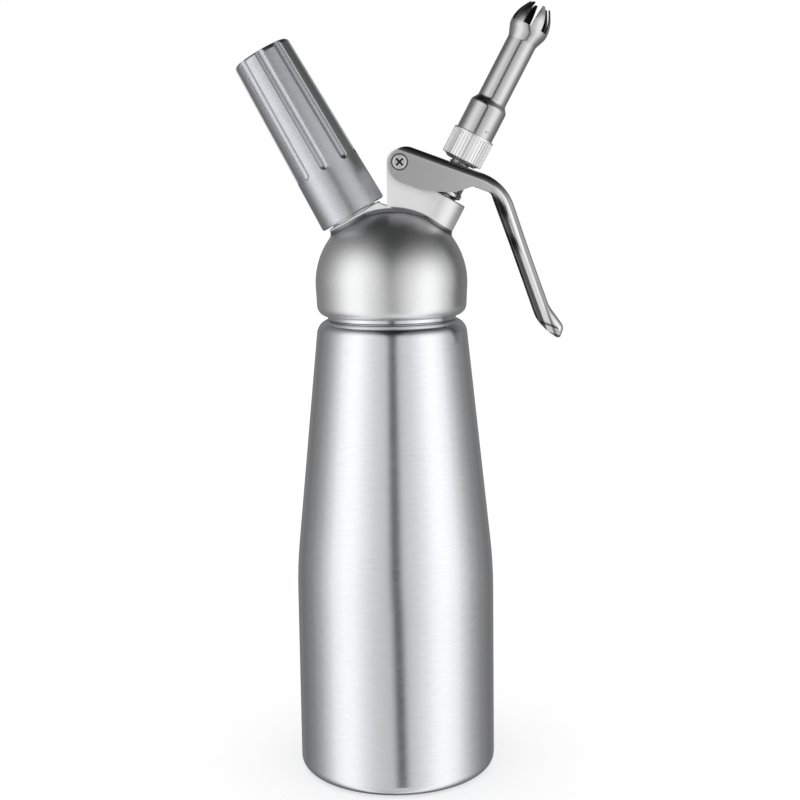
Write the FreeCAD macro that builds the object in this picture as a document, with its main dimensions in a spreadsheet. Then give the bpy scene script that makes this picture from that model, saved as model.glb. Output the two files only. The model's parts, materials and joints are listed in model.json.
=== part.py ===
import FreeCAD, Part
import math
import os
from types import SimpleNamespace

import Sketcher

# A whipped cream dispenser: a screw-topped aluminium bottle, a cast head that carries the gas
# charger in its holder on one side and a lever-worked valve with its decorating tip on the other.
# Millimetres and degrees. The bottle stands on z = 0 and its axis is the Z axis. The head's two
# tilted axes and the lever lie in the XZ plane: the charger leans to -X and the valve to +X.
# Along a tilted axis, heights are measured from the point where it crosses the bottle's axis.

DRIVING_SIZES = {
    # bottle
    "bottle_radius": 40.0,
    "bottle_wall": 1.2,
    "shoulder_wall": 1.8,
    "base_thickness": 2.0,
    "base_round": 4.5,
    "base_inner_round": 4.0,
    "waist_height": 84.5,
    "waist_blend": 190.0,
    "shoulder_radius": 29.45,
    "shoulder_height": 185.2,
    "shoulder_round": 6.0,
    "collar_radius": 25.6,
    "collar_height": 2.4,
    "neck_radius": 23.9,
    "neck_height": 13.3,
    "mouth_radius": 21.5,
    "lip_round": 0.6,
    # screw between bottle and head
    "neck_pitch": 3.0,
    "neck_thread_depth": 1.0,
    "neck_thread_crest": 0.35,
    "neck_thread_start": 4.0,
    "neck_thread_length": 6.0,
    # clearances
    "slip_gap": 0.05,
    "thread_gap": 0.15,
    "thread_side_gap": 0.12,
    "collar_gap": 0.4,
    "thread_flank": 30.0,
    # head
    "gasket_thickness": 2.5,
    "gasket_inset": 0.2,
    "head_radius": 30.2,
    "head_centre_rise": 14.1,
    "rim_gap": 1.2,
    "rim_radius": 29.6,
    "rim_round": 4.5,
    "rim_bore_depth": 2.4,
    "rim_lead": 1.2,
    "cavity_radius": 21.0,
    "lug_half_width": 9.5,
    "lug_root": 9.8,
    "lug_radius": 5.0,
    "saddle_length": 13.0,
    "saddle_reach": 8.0,
    "saddle_sink": 0.3,
    "saddle_half_width": 10.8,
    "casting_fillet": 2.4,
    # valve
    "valve_origin_rise": 9.1,
    "valve_tilt": 28.0,
    "boss_radius": 9.8,
    "boss_drop": 3.5,
    "boss_edge": 0.7,
    "seat_height": 20.5,
    "seat_tube_radius": 9.0,
    "chamber_radius": 6.2,
    "chamber_top": 29.0,
    "spring_pocket_radius": 7.1,
    "spring_pocket_depth": 8.0,
    "stem_radius": 4.0,
    "stem_channel_radius": 2.3,
    "stem_channel_floor": 22.0,
    "stem_hole_radius": 1.6,
    "stem_hole_height": 25.0,
    "stem_foot": 11.0,
    "stem_edge": 0.4,
    "ring_section": 0.8,
    "ring_height": 32.5,
    "poppet_seal_thickness": 2.0,
    "poppet_seal_radius": 8.2,
    "backing_thickness": 1.2,
    "backing_radius": 7.8,
    "poppet_nut_height": 4.6,
    "poppet_nut_flats": 12.0,
    "spring_wire": 1.0,
    "spring_turns": 6.0,
    "spring_end_gap": 0.1,
    "spring_stem_gap": 0.3,
    "cup_wall": 0.8,
    "cup_bead": 1.3,
    "cup_bead_edge": 0.2,
    "cup_bead_round": 1.0,
    "cup_bead_rise": 0.9,
    "cup_bead_top_round": 0.8,
    "cup_spring_gap": 0.2,
    "cup_skirt": 7.6,
    "cup_crown": 1.2,
    "clip_thickness": 1.0,
    "clip_radius": 6.4,
    "clip_edge": 0.3,
    "clip_depth": 0.7,
    "clip_opening": 5.0,
    "clip_to_lever": 0.25,
    # decorating tip and its adapter
    "nut_lift": 2.3,
    "nut_radius": 8.35,
    "nut_height": 11.0,
    "nut_edge": 0.4,
    "nut_foot_height": 1.0,
    "nut_foot_radius": 7.3,
    "nut_foot_end": 5.8,
    "knurl_depth": 0.3,
    "knurl_flare": 0.72,
    "knurl_count": 44.0,
    "stem_thread_length": 8.0,
    "stem_pitch": 1.25,
    "stem_thread_depth": 0.6,
    "stem_thread_crest": 0.15,
    "stem_thread_runout": 0.75,
    "stem_thread_overrun": 0.4,
    "stem_thread_relief": 0.6,
    "washer_thickness": 1.2,
    "washer_bore": 2.6,
    "adapter_bore": 2.8,
    "spigot_height": 9.5,
    "tip_wall": 0.7,
    "tip_barrel_radius": 7.5,
    "tip_barrel_height": 12.2,
    "tip_barrel_round": 2.0,
    "tip_tube_radius": 5.875,
    "tip_tube_start": 14.4,
    "tip_tube_round": 2.0,
    "bulb_start": 39.9,
    "bulb_radius": 7.75,
    "bulb_height": 44.6,
    "bulb_top_radius": 7.5,
    "bulb_top_height": 49.6,
    "bulb_round": 6.0,
    "bulb_top_round": 13.0,
    "tip_mouth_radius": 4.3,
    "tip_height": 55.0,
    "tip_slots": 6.0,
    "tip_slot_width": 3.3,
    "tip_slot_floor": 45.9,
    "tip_slot_turn": 17.0,
    "dimple_radius": 2.0,
    "dimple_height": 2.5,
    "dimple_depth": 0.35,
    "dimple_width": 0.8,
    "dimple_turn": 63.0,
    "dimple_count": 3.0,
    # charger port
    "charger_origin_rise": 15.2,
    "charger_tilt": 29.2,
    "port_collar_radius": 11.5,
    "port_face": 29.5,
    "port_floor": 24.0,
    "port_plug_radius": 9.0,
    "port_core_radius": 9.45,
    "port_thread_depth": 0.95,
    "port_thread_crest": 0.3,
    "port_pitch": 2.0,
    "port_thread_start": 32.0,
    "port_thread_length": 6.0,
    "port_top": 39.5,
    "port_well_radius": 4.75,
    "port_well_floor": 32.0,
    "port_well_depth": 4.0,
    "port_mouth_radius": 8.0,
    "port_passage_radius": 0.8,
    "port_ring_section": 0.9,
    "port_ring_radius": 6.6,
    "spigot_radius": 3.0,
    "spigot_foot": 14.0,
    "passage_floor": 15.5,
    "spigot_hole_height": 17.5,
    "sleeve_wall": 1.4,
    "sleeve_foot": 15.2,
    "sleeve_length": 4.4,
    "sleeve_edge": 0.3,
    "pin_radius": 0.95,
    "pin_bore": 0.4,
    "pin_foot": 27.0,
    "pin_tip": 37.6,
    "pin_point": 2.0,
    "seal_thickness": 1.8,
    "seal_bore": 1.3,
    # gas charger
    "charger_length": 65.5,
    "charger_radius": 8.85,
    "charger_neck_radius": 4.3,
    "charger_neck_length": 8.0,
    "charger_shoulder": 17.0,
    "charger_wall": 1.3,
    "charger_neck_round": 4.4,
    "charger_shoulder_round": 8.8,
    "charger_cap": 2.6,
    "charger_base_round": 7.5,
    "charger_cap_hole": 1.25,
    "charger_seal_gap": 0.1,
    # charger holder
    "holder_rim": 30.0,
    "holder_rim_radius": 13.75,
    "holder_rim_edge": 0.5,
    "holder_end_radius": 11.85,
    "holder_end_wall": 2.0,
    "holder_end_round": 1.8,
    "holder_crown": 0.5,
    "holder_bore_radius": 9.2,
    "holder_bore_start": 41.5,
    "holder_bore_round": 6.5,
    "holder_end_gap": 0.3,
    "flute_radius": 2.25,
    "flute_depth": 1.12,
    "flute_start": 52.05,
    "flute_count": 9.0,
    "flute_turn": -10.0,
    # lever, in its own frame: pivot at the origin and x along its top
    "pivot_x": 3.78,
    "pivot_rise": 61.4,
    "lever_slope": 20.5,
    "lever_sheet": 1.5,
    "lever_half_width": 11.85,
    "web_top": 6.85,
    "flange_bottom": 7.15,
    "ear_centre": 2.85,
    "flange_straight": 12.6,
    "flange_rise_x": 24.0,
    "flange_rise": 3.9,
    "flange_notch_x": 30.2,
    "flange_notch": 1.0,
    "flange_round": 18.0,
    "notch_round": 3.0,
    "skirt_top_round": 2.6,
    "bend_x": 41.3,
    "bend_turn": 50.0,
    "bend_round": 20.0,
    "handle_length": 51.8,
    "handle_depth": 5.8,
    "flare_turn": 16.2,
    "flare_round": 10.0,
    "handle_end_x": 83.0,
    "handle_end_low": 43.6,
    "handle_end_cut": 0.9,
    "skirt_low_x": 74.4,
    "handle_end_round": 3.4,
    "handle_tip_round": 5.0,
    "handle_tip_length": 10.0,
    "skirt_round": 14.0,
    "waist_half_width": 8.0,
    "waist_start": 3.2,
    "waist_top": 15.0,
    "waist_round": 26.0,
    "tail_round": 14.0,
    "waist_low": 27.0,
    "tail_half_width": 9.4,
    "tail_top": 38.0,
    "trim_x": 36.0,
    "sheet_round": 3.0,
    "slot_half_length": 5.6,
    "slot_half_width": 4.6,
    "slot_round": 3.7,
    "slot_centre": 21.6,
    # pivot
    "pivot_pin_radius": 2.5,
    "pivot_run_gap": 0.08,
    "screw_recess_radius": 3.3,
    "screw_recess_depth": 1.1,
    "screw_head_radius": 2.85,
    "screw_head_height": 0.8,
    "screw_head_round": 0.5,
    "screw_shank_radius": 1.45,
    "screw_shank_length": 6.0,
    "screw_head_gap": 0.06,
    "cross_width": 0.8,
    "cross_length": 3.8,
    "cross_depth": 0.55,
    "cross_turn": 65.5,
}


class Size:
    """A number that remembers the sheet formula it comes from, so that features can be bound."""

    def __init__(self, value, formula):
        self.value = value
        self.formula = formula

    def _with(self, other, sign, result):
        return Size(result, "(%s %s %s)" % (self.formula, sign, as_size(other).formula))

    def __add__(self, other):
        return self._with(other, "+", self.value + as_size(other).value)

    def __sub__(self, other):
        return self._with(other, "-", self.value - as_size(other).value)

    def __mul__(self, other):
        return self._with(other, "*", self.value * as_size(other).value)

    def __truediv__(self, other):
        return self._with(other, "/", self.value / as_size(other).value)

    def __radd__(self, other):
        return as_size(other) + self

    def __rsub__(self, other):
        return as_size(other) - self

    def __rmul__(self, other):
        return as_size(other) * self

    def __neg__(self):
        return as_size(0) - self


def as_size(number):
    return number if isinstance(number, Size) else Size(float(number), repr(number))


def sine(angle):
    return Size(math.sin(math.radians(angle.value)), "sin(%s)" % angle.formula)


def cosine(angle):
    return Size(math.cos(math.radians(angle.value)), "cos(%s)" % angle.formula)


def tangent(angle):
    return Size(math.tan(math.radians(angle.value)), "tan(%s)" % angle.formula)


# %% The document and its sheet of driving sizes

doc = FreeCAD.newDocument("whipped_cream_dispenser")
sheet = doc.addObject("Spreadsheet::Sheet", "dims")
for row, (name, number) in enumerate(DRIVING_SIZES.items(), start=1):
    sheet.set("A%d" % row, name)
    sheet.set("B%d" % row, str(number))
    sheet.setAlias("B%d" % row, name)
doc.recompute()
d = SimpleNamespace(**{name: Size(number, "dims." + name) for name, number in DRIVING_SIZES.items()})

sub_parts = []


def bind(thing, prop, size):
    """Sets a property now and ties it to the sheet."""
    size = as_size(size)
    if "." not in prop:
        setattr(thing, prop, size.value)
    thing.setExpression(prop, size.formula)


# %% Sketches: closed outlines whose corners are tied to the sheet

def origin_feature(body, role):
    return next(item for item in body.Origin.OriginFeatures if item.Role == role)


def new_sketch(body, name, plane="XZ_Plane", at=(0, 0), turn=None, lift=None):
    """A sketch on an origin plane, moved to (x, y) in it, turned about its normal, and lifted."""
    sketch = body.newObject("Sketcher::SketchObject", name)
    sketch.AttachmentSupport = [(origin_feature(body, plane), "")]
    sketch.MapMode = "FlatFace"
    turned = as_size(turn if turn is not None else 0)
    base = FreeCAD.Vector(as_size(at[0]).value, as_size(at[1]).value, as_size(lift or 0).value)
    rotation = FreeCAD.Rotation(FreeCAD.Vector(0, 0, 1), turned.value)
    sketch.AttachmentOffset = FreeCAD.Placement(base, rotation)
    for letter, place in zip("xyz", (at[0], at[1], lift)):
        if isinstance(place, Size):
            sketch.setExpression("AttachmentOffset.Base." + letter, place.formula)
    if isinstance(turn, Size):
        sketch.setExpression("AttachmentOffset.Rotation.Angle", turn.formula)
    return sketch


def hold_point(sketch, geometry, end, x, y, hold="xy"):
    """Ties one point of a sketch to its place; a plain 0 puts it on the sketch's own axis."""
    for letter, place, kind, axis in (("x", x, "DistanceX", -2), ("y", y, "DistanceY", -1)):
        if letter not in hold:
            continue
        if not isinstance(place, Size):
            sketch.addConstraint(Sketcher.Constraint("PointOnObject", geometry, end, axis))
            continue
        held = Sketcher.Constraint(kind, -1, 1, geometry, end, place.value)
        number = sketch.addConstraint(held)
        sketch.setExpression("Constraints[%d]" % number, place.formula)


class Arc:
    """An outline's arc: to (x, y) about (cx, cy), counter-clockwise or clockwise."""

    def __init__(self, x, y, cx, cy, clockwise=False):
        self.x, self.y, self.cx, self.cy, self.clockwise = x, y, cx, cy, clockwise


def flat(x, y):
    return FreeCAD.Vector(as_size(x).value, as_size(y).value, 0)


def arc_of(centre, start, end, clockwise):
    """The sketch arc and which of its ends is the start of the run."""
    first, last = (end, start) if clockwise else (start, end)
    low = math.atan2(first.y - centre.y, first.x - centre.x)
    high = math.atan2(last.y - centre.y, last.x - centre.x)
    if high <= low:
        high += 2 * math.pi
    circle = Part.Circle(centre, FreeCAD.Vector(0, 0, 1), (start - centre).Length)
    return Part.ArcOfCircle(circle, low, high), (2, 1) if clockwise else (1, 2)


def outline(sketch, path):
    """A closed outline: corners (x, y) or (x, y, rounding), with an Arc for an arc to a point."""
    count = len(path)
    places = [flat(item.x, item.y) if isinstance(item, Arc) else flat(item[0], item[1]) for item in path]
    rounding = [None if isinstance(item, Arc) or len(item) < 3 else item[2] for item in path]
    begins = list(places)
    ends = list(places)
    centres = {}
    for here in range(count):
        if rounding[here] is None:
            continue
        before = (places[here - 1] - places[here]).normalize()
        after = (places[(here + 1) % count] - places[here]).normalize()
        half = math.acos(max(-1.0, min(1.0, before.dot(after)))) / 2
        radius = as_size(rounding[here]).value
        ends[here] = places[here] + before * (radius / math.tan(half))
        begins[here] = places[here] + after * (radius / math.tan(half))
        centres[here] = places[here] + (before + after).normalize() * (radius / math.sin(half))
    edges = []
    for here in range(count):
        there = (here + 1) % count
        item = path[there]
        if isinstance(item, Arc):
            curve, sides = arc_of(flat(item.cx, item.cy), begins[here], ends[there], item.clockwise)
            edges.append((sketch.addGeometry(curve, False), sides))
        else:
            line = Part.LineSegment(begins[here], ends[there])
            edges.append((sketch.addGeometry(line, False), (1, 2)))
    for here in range(count):
        (before, before_sides), (after, after_sides) = edges[here - 1], edges[here]
        item = path[here]
        x, y = (item.x, item.y) if isinstance(item, Arc) else (item[0], item[1])
        if rounding[here] is None:
            joined = Sketcher.Constraint("Coincident", before, before_sides[1], after, after_sides[0])
            sketch.addConstraint(joined)
            hold = "xy"
            if isinstance(item, Arc):
                spoke = places[here] - flat(item.cx, item.cy)
                hold = "x" if abs(spoke.y) > abs(spoke.x) else "y"
                hold_point(sketch, before, 3, item.cx, item.cy)
            hold_point(sketch, after, after_sides[0], x, y, hold)
            continue
        turn = (ends[here] - places[here]).cross(begins[here] - places[here]).z
        curve, sides = arc_of(centres[here], ends[here], begins[here], turn > 0)
        arc = sketch.addGeometry(curve, False)
        sketch.addConstraint(Sketcher.Constraint("Tangent", before, before_sides[1], arc, sides[0]))
        sketch.addConstraint(Sketcher.Constraint("Tangent", arc, sides[1], after, after_sides[0]))
        radius = as_size(rounding[here])
        number = sketch.addConstraint(Sketcher.Constraint("Radius", arc, radius.value))
        sketch.setExpression("Constraints[%d]" % number, radius.formula)
        corner = sketch.addGeometry(Part.Point(places[here]), True)
        sketch.addConstraint(Sketcher.Constraint("PointOnObject", corner, 1, before))
        sketch.addConstraint(Sketcher.Constraint("PointOnObject", corner, 1, after))
        hold_point(sketch, corner, 1, x, y)
    return sketch


def circle(sketch, x, y, radius):
    """A circle of a bound radius at a bound centre."""
    radius = as_size(radius)
    ring = Part.Circle(flat(x, y), FreeCAD.Vector(0, 0, 1), radius.value)
    geometry = sketch.addGeometry(ring, False)
    hold_point(sketch, geometry, 3, x, y)
    number = sketch.addConstraint(Sketcher.Constraint("Radius", geometry, radius.value))
    sketch.setExpression("Constraints[%d]" % number, radius.formula)
    return sketch


# %% Features

def new_body(name, height=None, tilt=None, x=None, towards=1):
    """A sub-part: its own Z axis starts at a height on the bottle's axis and leans to +X or -X."""
    body = doc.addObject("PartDesign::Body", name)
    body.Label = name
    lean = as_size(tilt if tilt is not None else 0)
    base = FreeCAD.Vector(as_size(x or 0).value, 0, as_size(height or 0).value)
    body.Placement = FreeCAD.Placement(base, FreeCAD.Rotation(FreeCAD.Vector(0, towards, 0), lean.value))
    if height is not None:
        body.setExpression("Placement.Base.z", as_size(height).formula)
    if x is not None:
        body.setExpression("Placement.Base.x", as_size(x).formula)
    if tilt is not None:
        body.setExpression("Placement.Rotation.Angle", lean.formula)
    sub_parts.append(body)
    return body


def volume(body):
    return body.Shape.Volume if not body.Shape.isNull() else 0.0


def must_cut(body, name, before):
    """A cut that points away from the solid would remove nothing and say nothing."""
    doc.recompute()
    if volume(body) >= before - 1e-6:
        raise RuntimeError(body.Label + ": " + name + " removed nothing")


def revolve(body, name, path, cut=False, **place):
    """A full turn of an outline about the vertical axis of its sketch."""
    doc.recompute()
    before = volume(body)
    sketch = outline(new_sketch(body, name + "_profile", **place), path)
    turned = body.newObject("PartDesign::Groove" if cut else "PartDesign::Revolution", name)
    turned.Profile = sketch
    turned.ReferenceAxis = (sketch, ["V_Axis"])
    turned.Angle = 360
    if cut:
        must_cut(body, name, before)
    return turned


def extrude(body, name, sketch, length=None, cut=False, middle=False, backwards=False):
    """A pad or a pocket; a pocket with no length goes through everything."""
    doc.recompute()
    before = volume(body)
    block = body.newObject("PartDesign::Pocket" if cut else "PartDesign::Pad", name)
    block.Profile = sketch
    block.SideType = "Symmetric" if middle else "One side"
    block.Reversed = backwards
    if length is None:
        block.Type = "ThroughAll"
    else:
        bind(block, "Length", length)
    if cut:
        must_cut(body, name, before)
    return block


def repeat(body, name, feature, count, axis="Z_Axis"):
    """Copies of one feature evenly round an axis of the body."""
    doc.recompute()
    before = volume(body)
    pattern = body.newObject("PartDesign::PolarPattern", name)
    pattern.Originals = [feature]
    pattern.Axis = (origin_feature(body, axis), [""])
    pattern.Angle = 360
    pattern.Occurrences = int(round(count.value))
    pattern.setExpression("Occurrences", count.formula)
    body.Tip = pattern
    doc.recompute()
    if abs(volume(body) - before) < 1e-6:
        raise RuntimeError(body.Label + ": " + name + " changed nothing")
    return pattern


def edge_normals(shape, edge):
    """The edge's middle, and the outward normals there of the two faces it divides."""
    middle = edge.valueAt((edge.FirstParameter + edge.LastParameter) / 2)
    normals = []
    for face in shape.Faces:
        if any(edge.isSame(other) for other in face.Edges):
            u, v = face.Surface.parameter(middle)
            normals.append(face.normalAt(u, v))
    return middle, normals


def soften(body, name, radius, chosen):
    """Rounds the edges that a test of their middle and face normals chooses."""
    doc.recompute()
    base = body.Tip
    solid = base.Shape
    edges = []
    for number, edge in enumerate(solid.Edges, start=1):
        if chosen(edge, *edge_normals(solid, edge)):
            edges.append("Edge%d" % number)
    if not edges:
        raise RuntimeError(body.Label + ": " + name + " found no edge")
    dressed = body.newObject("PartDesign::Fillet", name)
    dressed.Base = (base, edges)
    bind(dressed, "Radius", radius)
    doc.recompute()
    return dressed


def screw_profile(core, depth, crest, gap, side_gap):
    """One tooth of a thread: an outer one with no gaps, or the groove that clears it."""
    root = core + gap - d.thread_gap * 2
    tip = core + depth + gap
    tip_half = crest + side_gap
    root_half = tip_half + (depth + d.thread_gap * 2) * tangent(d.thread_flank)
    return root, tip, root_half, tip_half


def thread(body, name, core, depth, crest, pitch, start, length, inside=False):
    """A right-hand thread: a ridge on a shaft, or the groove in its nut with clearance all round."""
    doc.recompute()
    before = volume(body)
    gap = d.thread_gap if inside else as_size(0)
    side_gap = d.thread_side_gap if inside else as_size(0)
    root, tip, root_half, tip_half = screw_profile(core, depth, crest, gap, side_gap)
    sketch = outline(new_sketch(body, name + "_profile"), [
        (root, start - root_half),
        (tip, start - tip_half),
        (tip, start + tip_half),
        (root, start + root_half),
    ])
    kind = "PartDesign::SubtractiveHelix" if inside else "PartDesign::AdditiveHelix"
    helix = body.newObject(kind, name)
    helix.Profile = sketch
    helix.ReferenceAxis = (sketch, ["V_Axis"])
    helix.Mode = "pitch-height-angle"
    bind(helix, "Pitch", pitch)
    bind(helix, "Height", length)
    doc.recompute()
    if inside:
        must_cut(body, name, before)
    return helix


def o_ring(name, radius, level, section, **place):
    """A ring of round section, at a level on the body's axis."""
    body = new_body(name, **place)
    profile = circle(new_sketch(body, name + "_profile"), radius, level, section)
    turned = body.newObject("PartDesign::Revolution", name + "_turned")
    turned.Profile = profile
    turned.ReferenceAxis = (profile, ["V_Axis"])
    turned.Angle = 360


def ring(name, inner, outer, low, high, edge=None, **place):
    """A plain washer, sleeve or ring of square section."""
    body = new_body(name, **place)
    corners = [(inner, low), (outer, low), (outer, high), (inner, high)]
    if edge is not None:
        corners = [corner + (edge,) for corner in corners]
    revolve(body, name + "_turned", corners)
    return body


# %% Bottle

neck_top = d.shoulder_height + d.neck_height
head_centre = d.shoulder_height + d.head_centre_rise
valve_origin = d.shoulder_height + d.valve_origin_rise
charger_origin = d.shoulder_height + d.charger_origin_rise
pivot_height = d.shoulder_height + d.pivot_rise
inner_shoulder = d.shoulder_height - d.shoulder_wall
thread_start = d.shoulder_height + d.neck_thread_start

bottle = new_body("bottle")
revolve(bottle, "bottle_wall_turned", [
    (0, 0),
    (d.bottle_radius, 0, d.base_round),
    (d.bottle_radius, d.waist_height, d.waist_blend),
    (d.shoulder_radius, d.shoulder_height, d.shoulder_round),
    (d.collar_radius, d.shoulder_height),
    (d.collar_radius, d.shoulder_height + d.collar_height, d.lip_round),
    (d.neck_radius, d.shoulder_height + d.collar_height),
    (d.neck_radius, neck_top, d.lip_round),
    (d.mouth_radius, neck_top, d.lip_round),
    (d.mouth_radius, inner_shoulder, d.lip_round),
    (d.shoulder_radius - d.bottle_wall, inner_shoulder, d.shoulder_round - d.bottle_wall),
    (d.bottle_radius - d.bottle_wall, d.waist_height, d.waist_blend),
    (d.bottle_radius - d.bottle_wall, d.base_thickness, d.base_inner_round),
    (0, d.base_thickness),
])
thread(bottle, "neck_thread", d.neck_radius, d.neck_thread_depth, d.neck_thread_crest, d.neck_pitch,
       thread_start, d.neck_thread_length)

# %% Head gasket: a flat ring between the bottle's lip and the head's ceiling

ceiling = neck_top + d.gasket_thickness
ring("head_gasket", d.mouth_radius + d.gasket_inset, d.neck_radius, neck_top, ceiling)

# %% Head casting

rim = d.shoulder_height + d.rim_gap
rim_bore = d.collar_radius + d.collar_gap
neck_bore = d.neck_radius + d.thread_gap
stem_bore = d.stem_radius + d.slip_gap
port_bore = d.port_plug_radius + d.slip_gap
below = as_size(1)
above_valve = pivot_height - valve_origin
pivot_up = d.pivot_x * sine(d.valve_tilt) + above_valve * cosine(d.valve_tilt)
boss_top = pivot_up - d.boss_drop
spring_pocket_floor = boss_top - d.spring_pocket_depth
valve_frame = {"at": (0, valve_origin), "turn": -d.valve_tilt}
charger_frame = {"at": (0, charger_origin), "turn": d.charger_tilt}


def along_valve(across, up):
    """The (x, z) of a point given across and up the valve's axis."""
    x = across * cosine(d.valve_tilt) + up * sine(d.valve_tilt)
    z = valve_origin + up * cosine(d.valve_tilt) - across * sine(d.valve_tilt)
    return x, z


head = new_body("head_casting")
revolve(head, "dome", [
    (0, rim),
    (d.rim_radius, rim, d.rim_round),
    (d.head_radius, head_centre),
    Arc(0, head_centre + d.head_radius, 0, head_centre),
])
inside_dome = as_size(10)
revolve(head, "port_collar", [
    (0, inside_dome),
    (d.port_collar_radius, inside_dome),
    (d.port_collar_radius, d.port_face, d.boss_edge),
    (0, d.port_face),
], **charger_frame)
revolve(head, "valve_boss", [
    (0, inside_dome),
    (d.boss_radius, inside_dome),
    (d.boss_radius, boss_top, d.boss_edge),
    (0, boss_top),
], **valve_frame)


def boss_foot(edge, middle, normals):
    """True for the closed edge where a round boss leaves the dome."""
    from_centre = (middle - FreeCAD.Vector(0, 0, head_centre.value)).Length
    on_dome = abs(from_centre - d.head_radius.value) < d.slip_gap.value
    return on_dome and middle.z > (head_centre + below).value


soften(head, "boss_feet_rounded", d.casting_fillet, boss_foot)
lug_low = head_centre + d.lug_root
lug = outline(new_sketch(head, "lug_side"), [
    (d.pivot_x - d.lug_radius, lug_low),
    along_valve(0, d.seat_height),
    along_valve(0, boss_top),
    along_valve(-d.boss_radius, boss_top),
    (d.pivot_x + d.lug_radius, pivot_height),
    Arc(d.pivot_x - d.lug_radius, pivot_height, d.pivot_x, pivot_height),
])
extrude(head, "lug_slab", lug, d.lug_half_width * 2, middle=True)
face_x = d.port_face * sine(d.charger_tilt)
face_z = charger_origin + d.port_face * cosine(d.charger_tilt)
saddle_x = d.port_collar_radius * cosine(d.charger_tilt) - face_x
saddle_z = face_z + d.port_collar_radius * sine(d.charger_tilt)
saddle_end_x = saddle_x + d.saddle_length * cosine(d.lever_slope)
saddle_back_x = saddle_x - d.saddle_reach * cosine(d.charger_tilt) + d.saddle_sink * sine(d.charger_tilt)
saddle_back_z = saddle_z - d.saddle_reach * sine(d.charger_tilt) - d.saddle_sink * cosine(d.charger_tilt)
saddle = outline(new_sketch(head, "saddle_side"), [
    (saddle_back_x, saddle_back_z),
    (saddle_x - d.boss_edge, saddle_z - d.boss_edge),
    (saddle_end_x, saddle_z - d.boss_edge - d.saddle_length * sine(d.lever_slope)),
    (saddle_end_x, lug_low),
    (saddle_back_x, lug_low),
])
extrude(head, "saddle_block", saddle, d.saddle_half_width * 2, middle=True)
revolve(head, "inside", [
    (0, rim - below),
    (rim_bore, rim - below),
    (rim_bore, rim + d.rim_bore_depth - d.rim_lead),
    (neck_bore, rim + d.rim_bore_depth),
    (neck_bore, ceiling),
    (d.cavity_radius, ceiling),
    Arc(0, ceiling + d.cavity_radius, 0, ceiling),
], cut=True)
revolve(head, "seat_tube", [
    (0, d.seat_height),
    (d.seat_tube_radius, d.seat_height),
    (d.seat_tube_radius, d.chamber_top),
    (0, d.chamber_top),
], **valve_frame)
ring_groove = d.ring_section + d.slip_gap
revolve(head, "valve_bore", [
    (0, d.seat_height - below),
    (d.chamber_radius, d.seat_height - below),
    (d.chamber_radius, d.chamber_top),
    (stem_bore, d.chamber_top),
    (stem_bore, d.ring_height - ring_groove),
    (stem_bore + ring_groove * 2, d.ring_height - ring_groove),
    (stem_bore + ring_groove * 2, d.ring_height + ring_groove),
    (stem_bore, d.ring_height + ring_groove),
    (stem_bore, spring_pocket_floor),
    (d.spring_pocket_radius, spring_pocket_floor),
    (d.spring_pocket_radius, boss_top + below),
    (0, boss_top + below),
], cut=True, **valve_frame)
revolve(head, "port_bore", [
    (0, d.spigot_foot),
    (d.spigot_radius + d.slip_gap, d.spigot_foot),
    (d.spigot_radius + d.slip_gap, d.port_floor),
    (port_bore, d.port_floor),
    (port_bore, d.port_face + below),
    (0, d.port_face + below),
], cut=True, **charger_frame)
# the groove runs out through the rim bore, so that the bottle's thread can leave it
leads = 2
thread(head, "neck_groove", d.neck_radius, d.neck_thread_depth, d.neck_thread_crest, d.neck_pitch,
       thread_start - d.neck_pitch * leads, d.neck_thread_length + d.neck_pitch * leads, inside=True)
pivot_hole = circle(new_sketch(head, "pivot_bore_circle"), d.pivot_x, pivot_height,
                    d.pivot_pin_radius + d.slip_gap)
extrude(head, "pivot_bore", pivot_hole, d.lug_half_width * 4, cut=True, middle=True)

# %% Valve: the stem slides in the head; everything on it is measured along the valve's axis

valve_place = {"height": valve_origin, "tilt": d.valve_tilt}
pivot_arm = above_valve * sine(d.valve_tilt) - d.pivot_x * cosine(d.valve_tilt)
lever_lean = d.valve_tilt - d.lever_slope
web_under = d.web_top - d.lever_sheet
web_on_axis = pivot_up + pivot_arm * tangent(lever_lean) + d.web_top / cosine(lever_lean)
under_on_axis = pivot_up + pivot_arm * tangent(lever_lean) + web_under / cosine(lever_lean)
clip_top = under_on_axis - d.clip_radius * tangent(lever_lean) - d.clip_to_lever
clip_low = clip_top - d.clip_thickness
nut_low = web_on_axis + d.nut_lift
stem_top = nut_low + d.stem_thread_length
stem_core = d.stem_radius - d.stem_thread_depth
clip_root = d.stem_radius - d.clip_depth
thread_low = clip_top + d.clip_thickness

stem = new_body("valve_stem", **valve_place)
revolve(stem, "stem_turned", [
    (0, d.stem_foot),
    (d.stem_radius, d.stem_foot, d.stem_edge),
    (d.stem_radius, clip_low - d.slip_gap),
    (clip_root, clip_low - d.slip_gap),
    (clip_root, clip_top + d.slip_gap),
    (d.stem_radius, clip_top + d.slip_gap),
    (d.stem_radius, thread_low),
    (stem_core, thread_low),
    (stem_core, stem_top, d.stem_edge),
    (0, stem_top),
])
revolve(stem, "stem_channel", [
    (0, d.stem_channel_floor),
    (d.stem_channel_radius, d.stem_channel_floor, d.stem_edge),
    (d.stem_channel_radius, stem_top + below),
    (0, stem_top + below),
], cut=True)
for plane in ("XZ_Plane", "YZ_Plane"):
    side = circle(new_sketch(stem, "cream_hole_" + plane[:2].lower(), plane), 0, d.stem_hole_height,
                  d.stem_hole_radius)
    extrude(stem, "cream_holes_" + plane[:2].lower(), side, d.stem_radius * 4, cut=True, middle=True)
stem_thread_start = thread_low + d.stem_pitch
stem_thread_run = stem_top - stem_thread_start - d.stem_thread_runout
thread(stem, "stem_thread", stem_core, d.stem_thread_depth, d.stem_thread_crest, d.stem_pitch,
       stem_thread_start, stem_thread_run)

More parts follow.
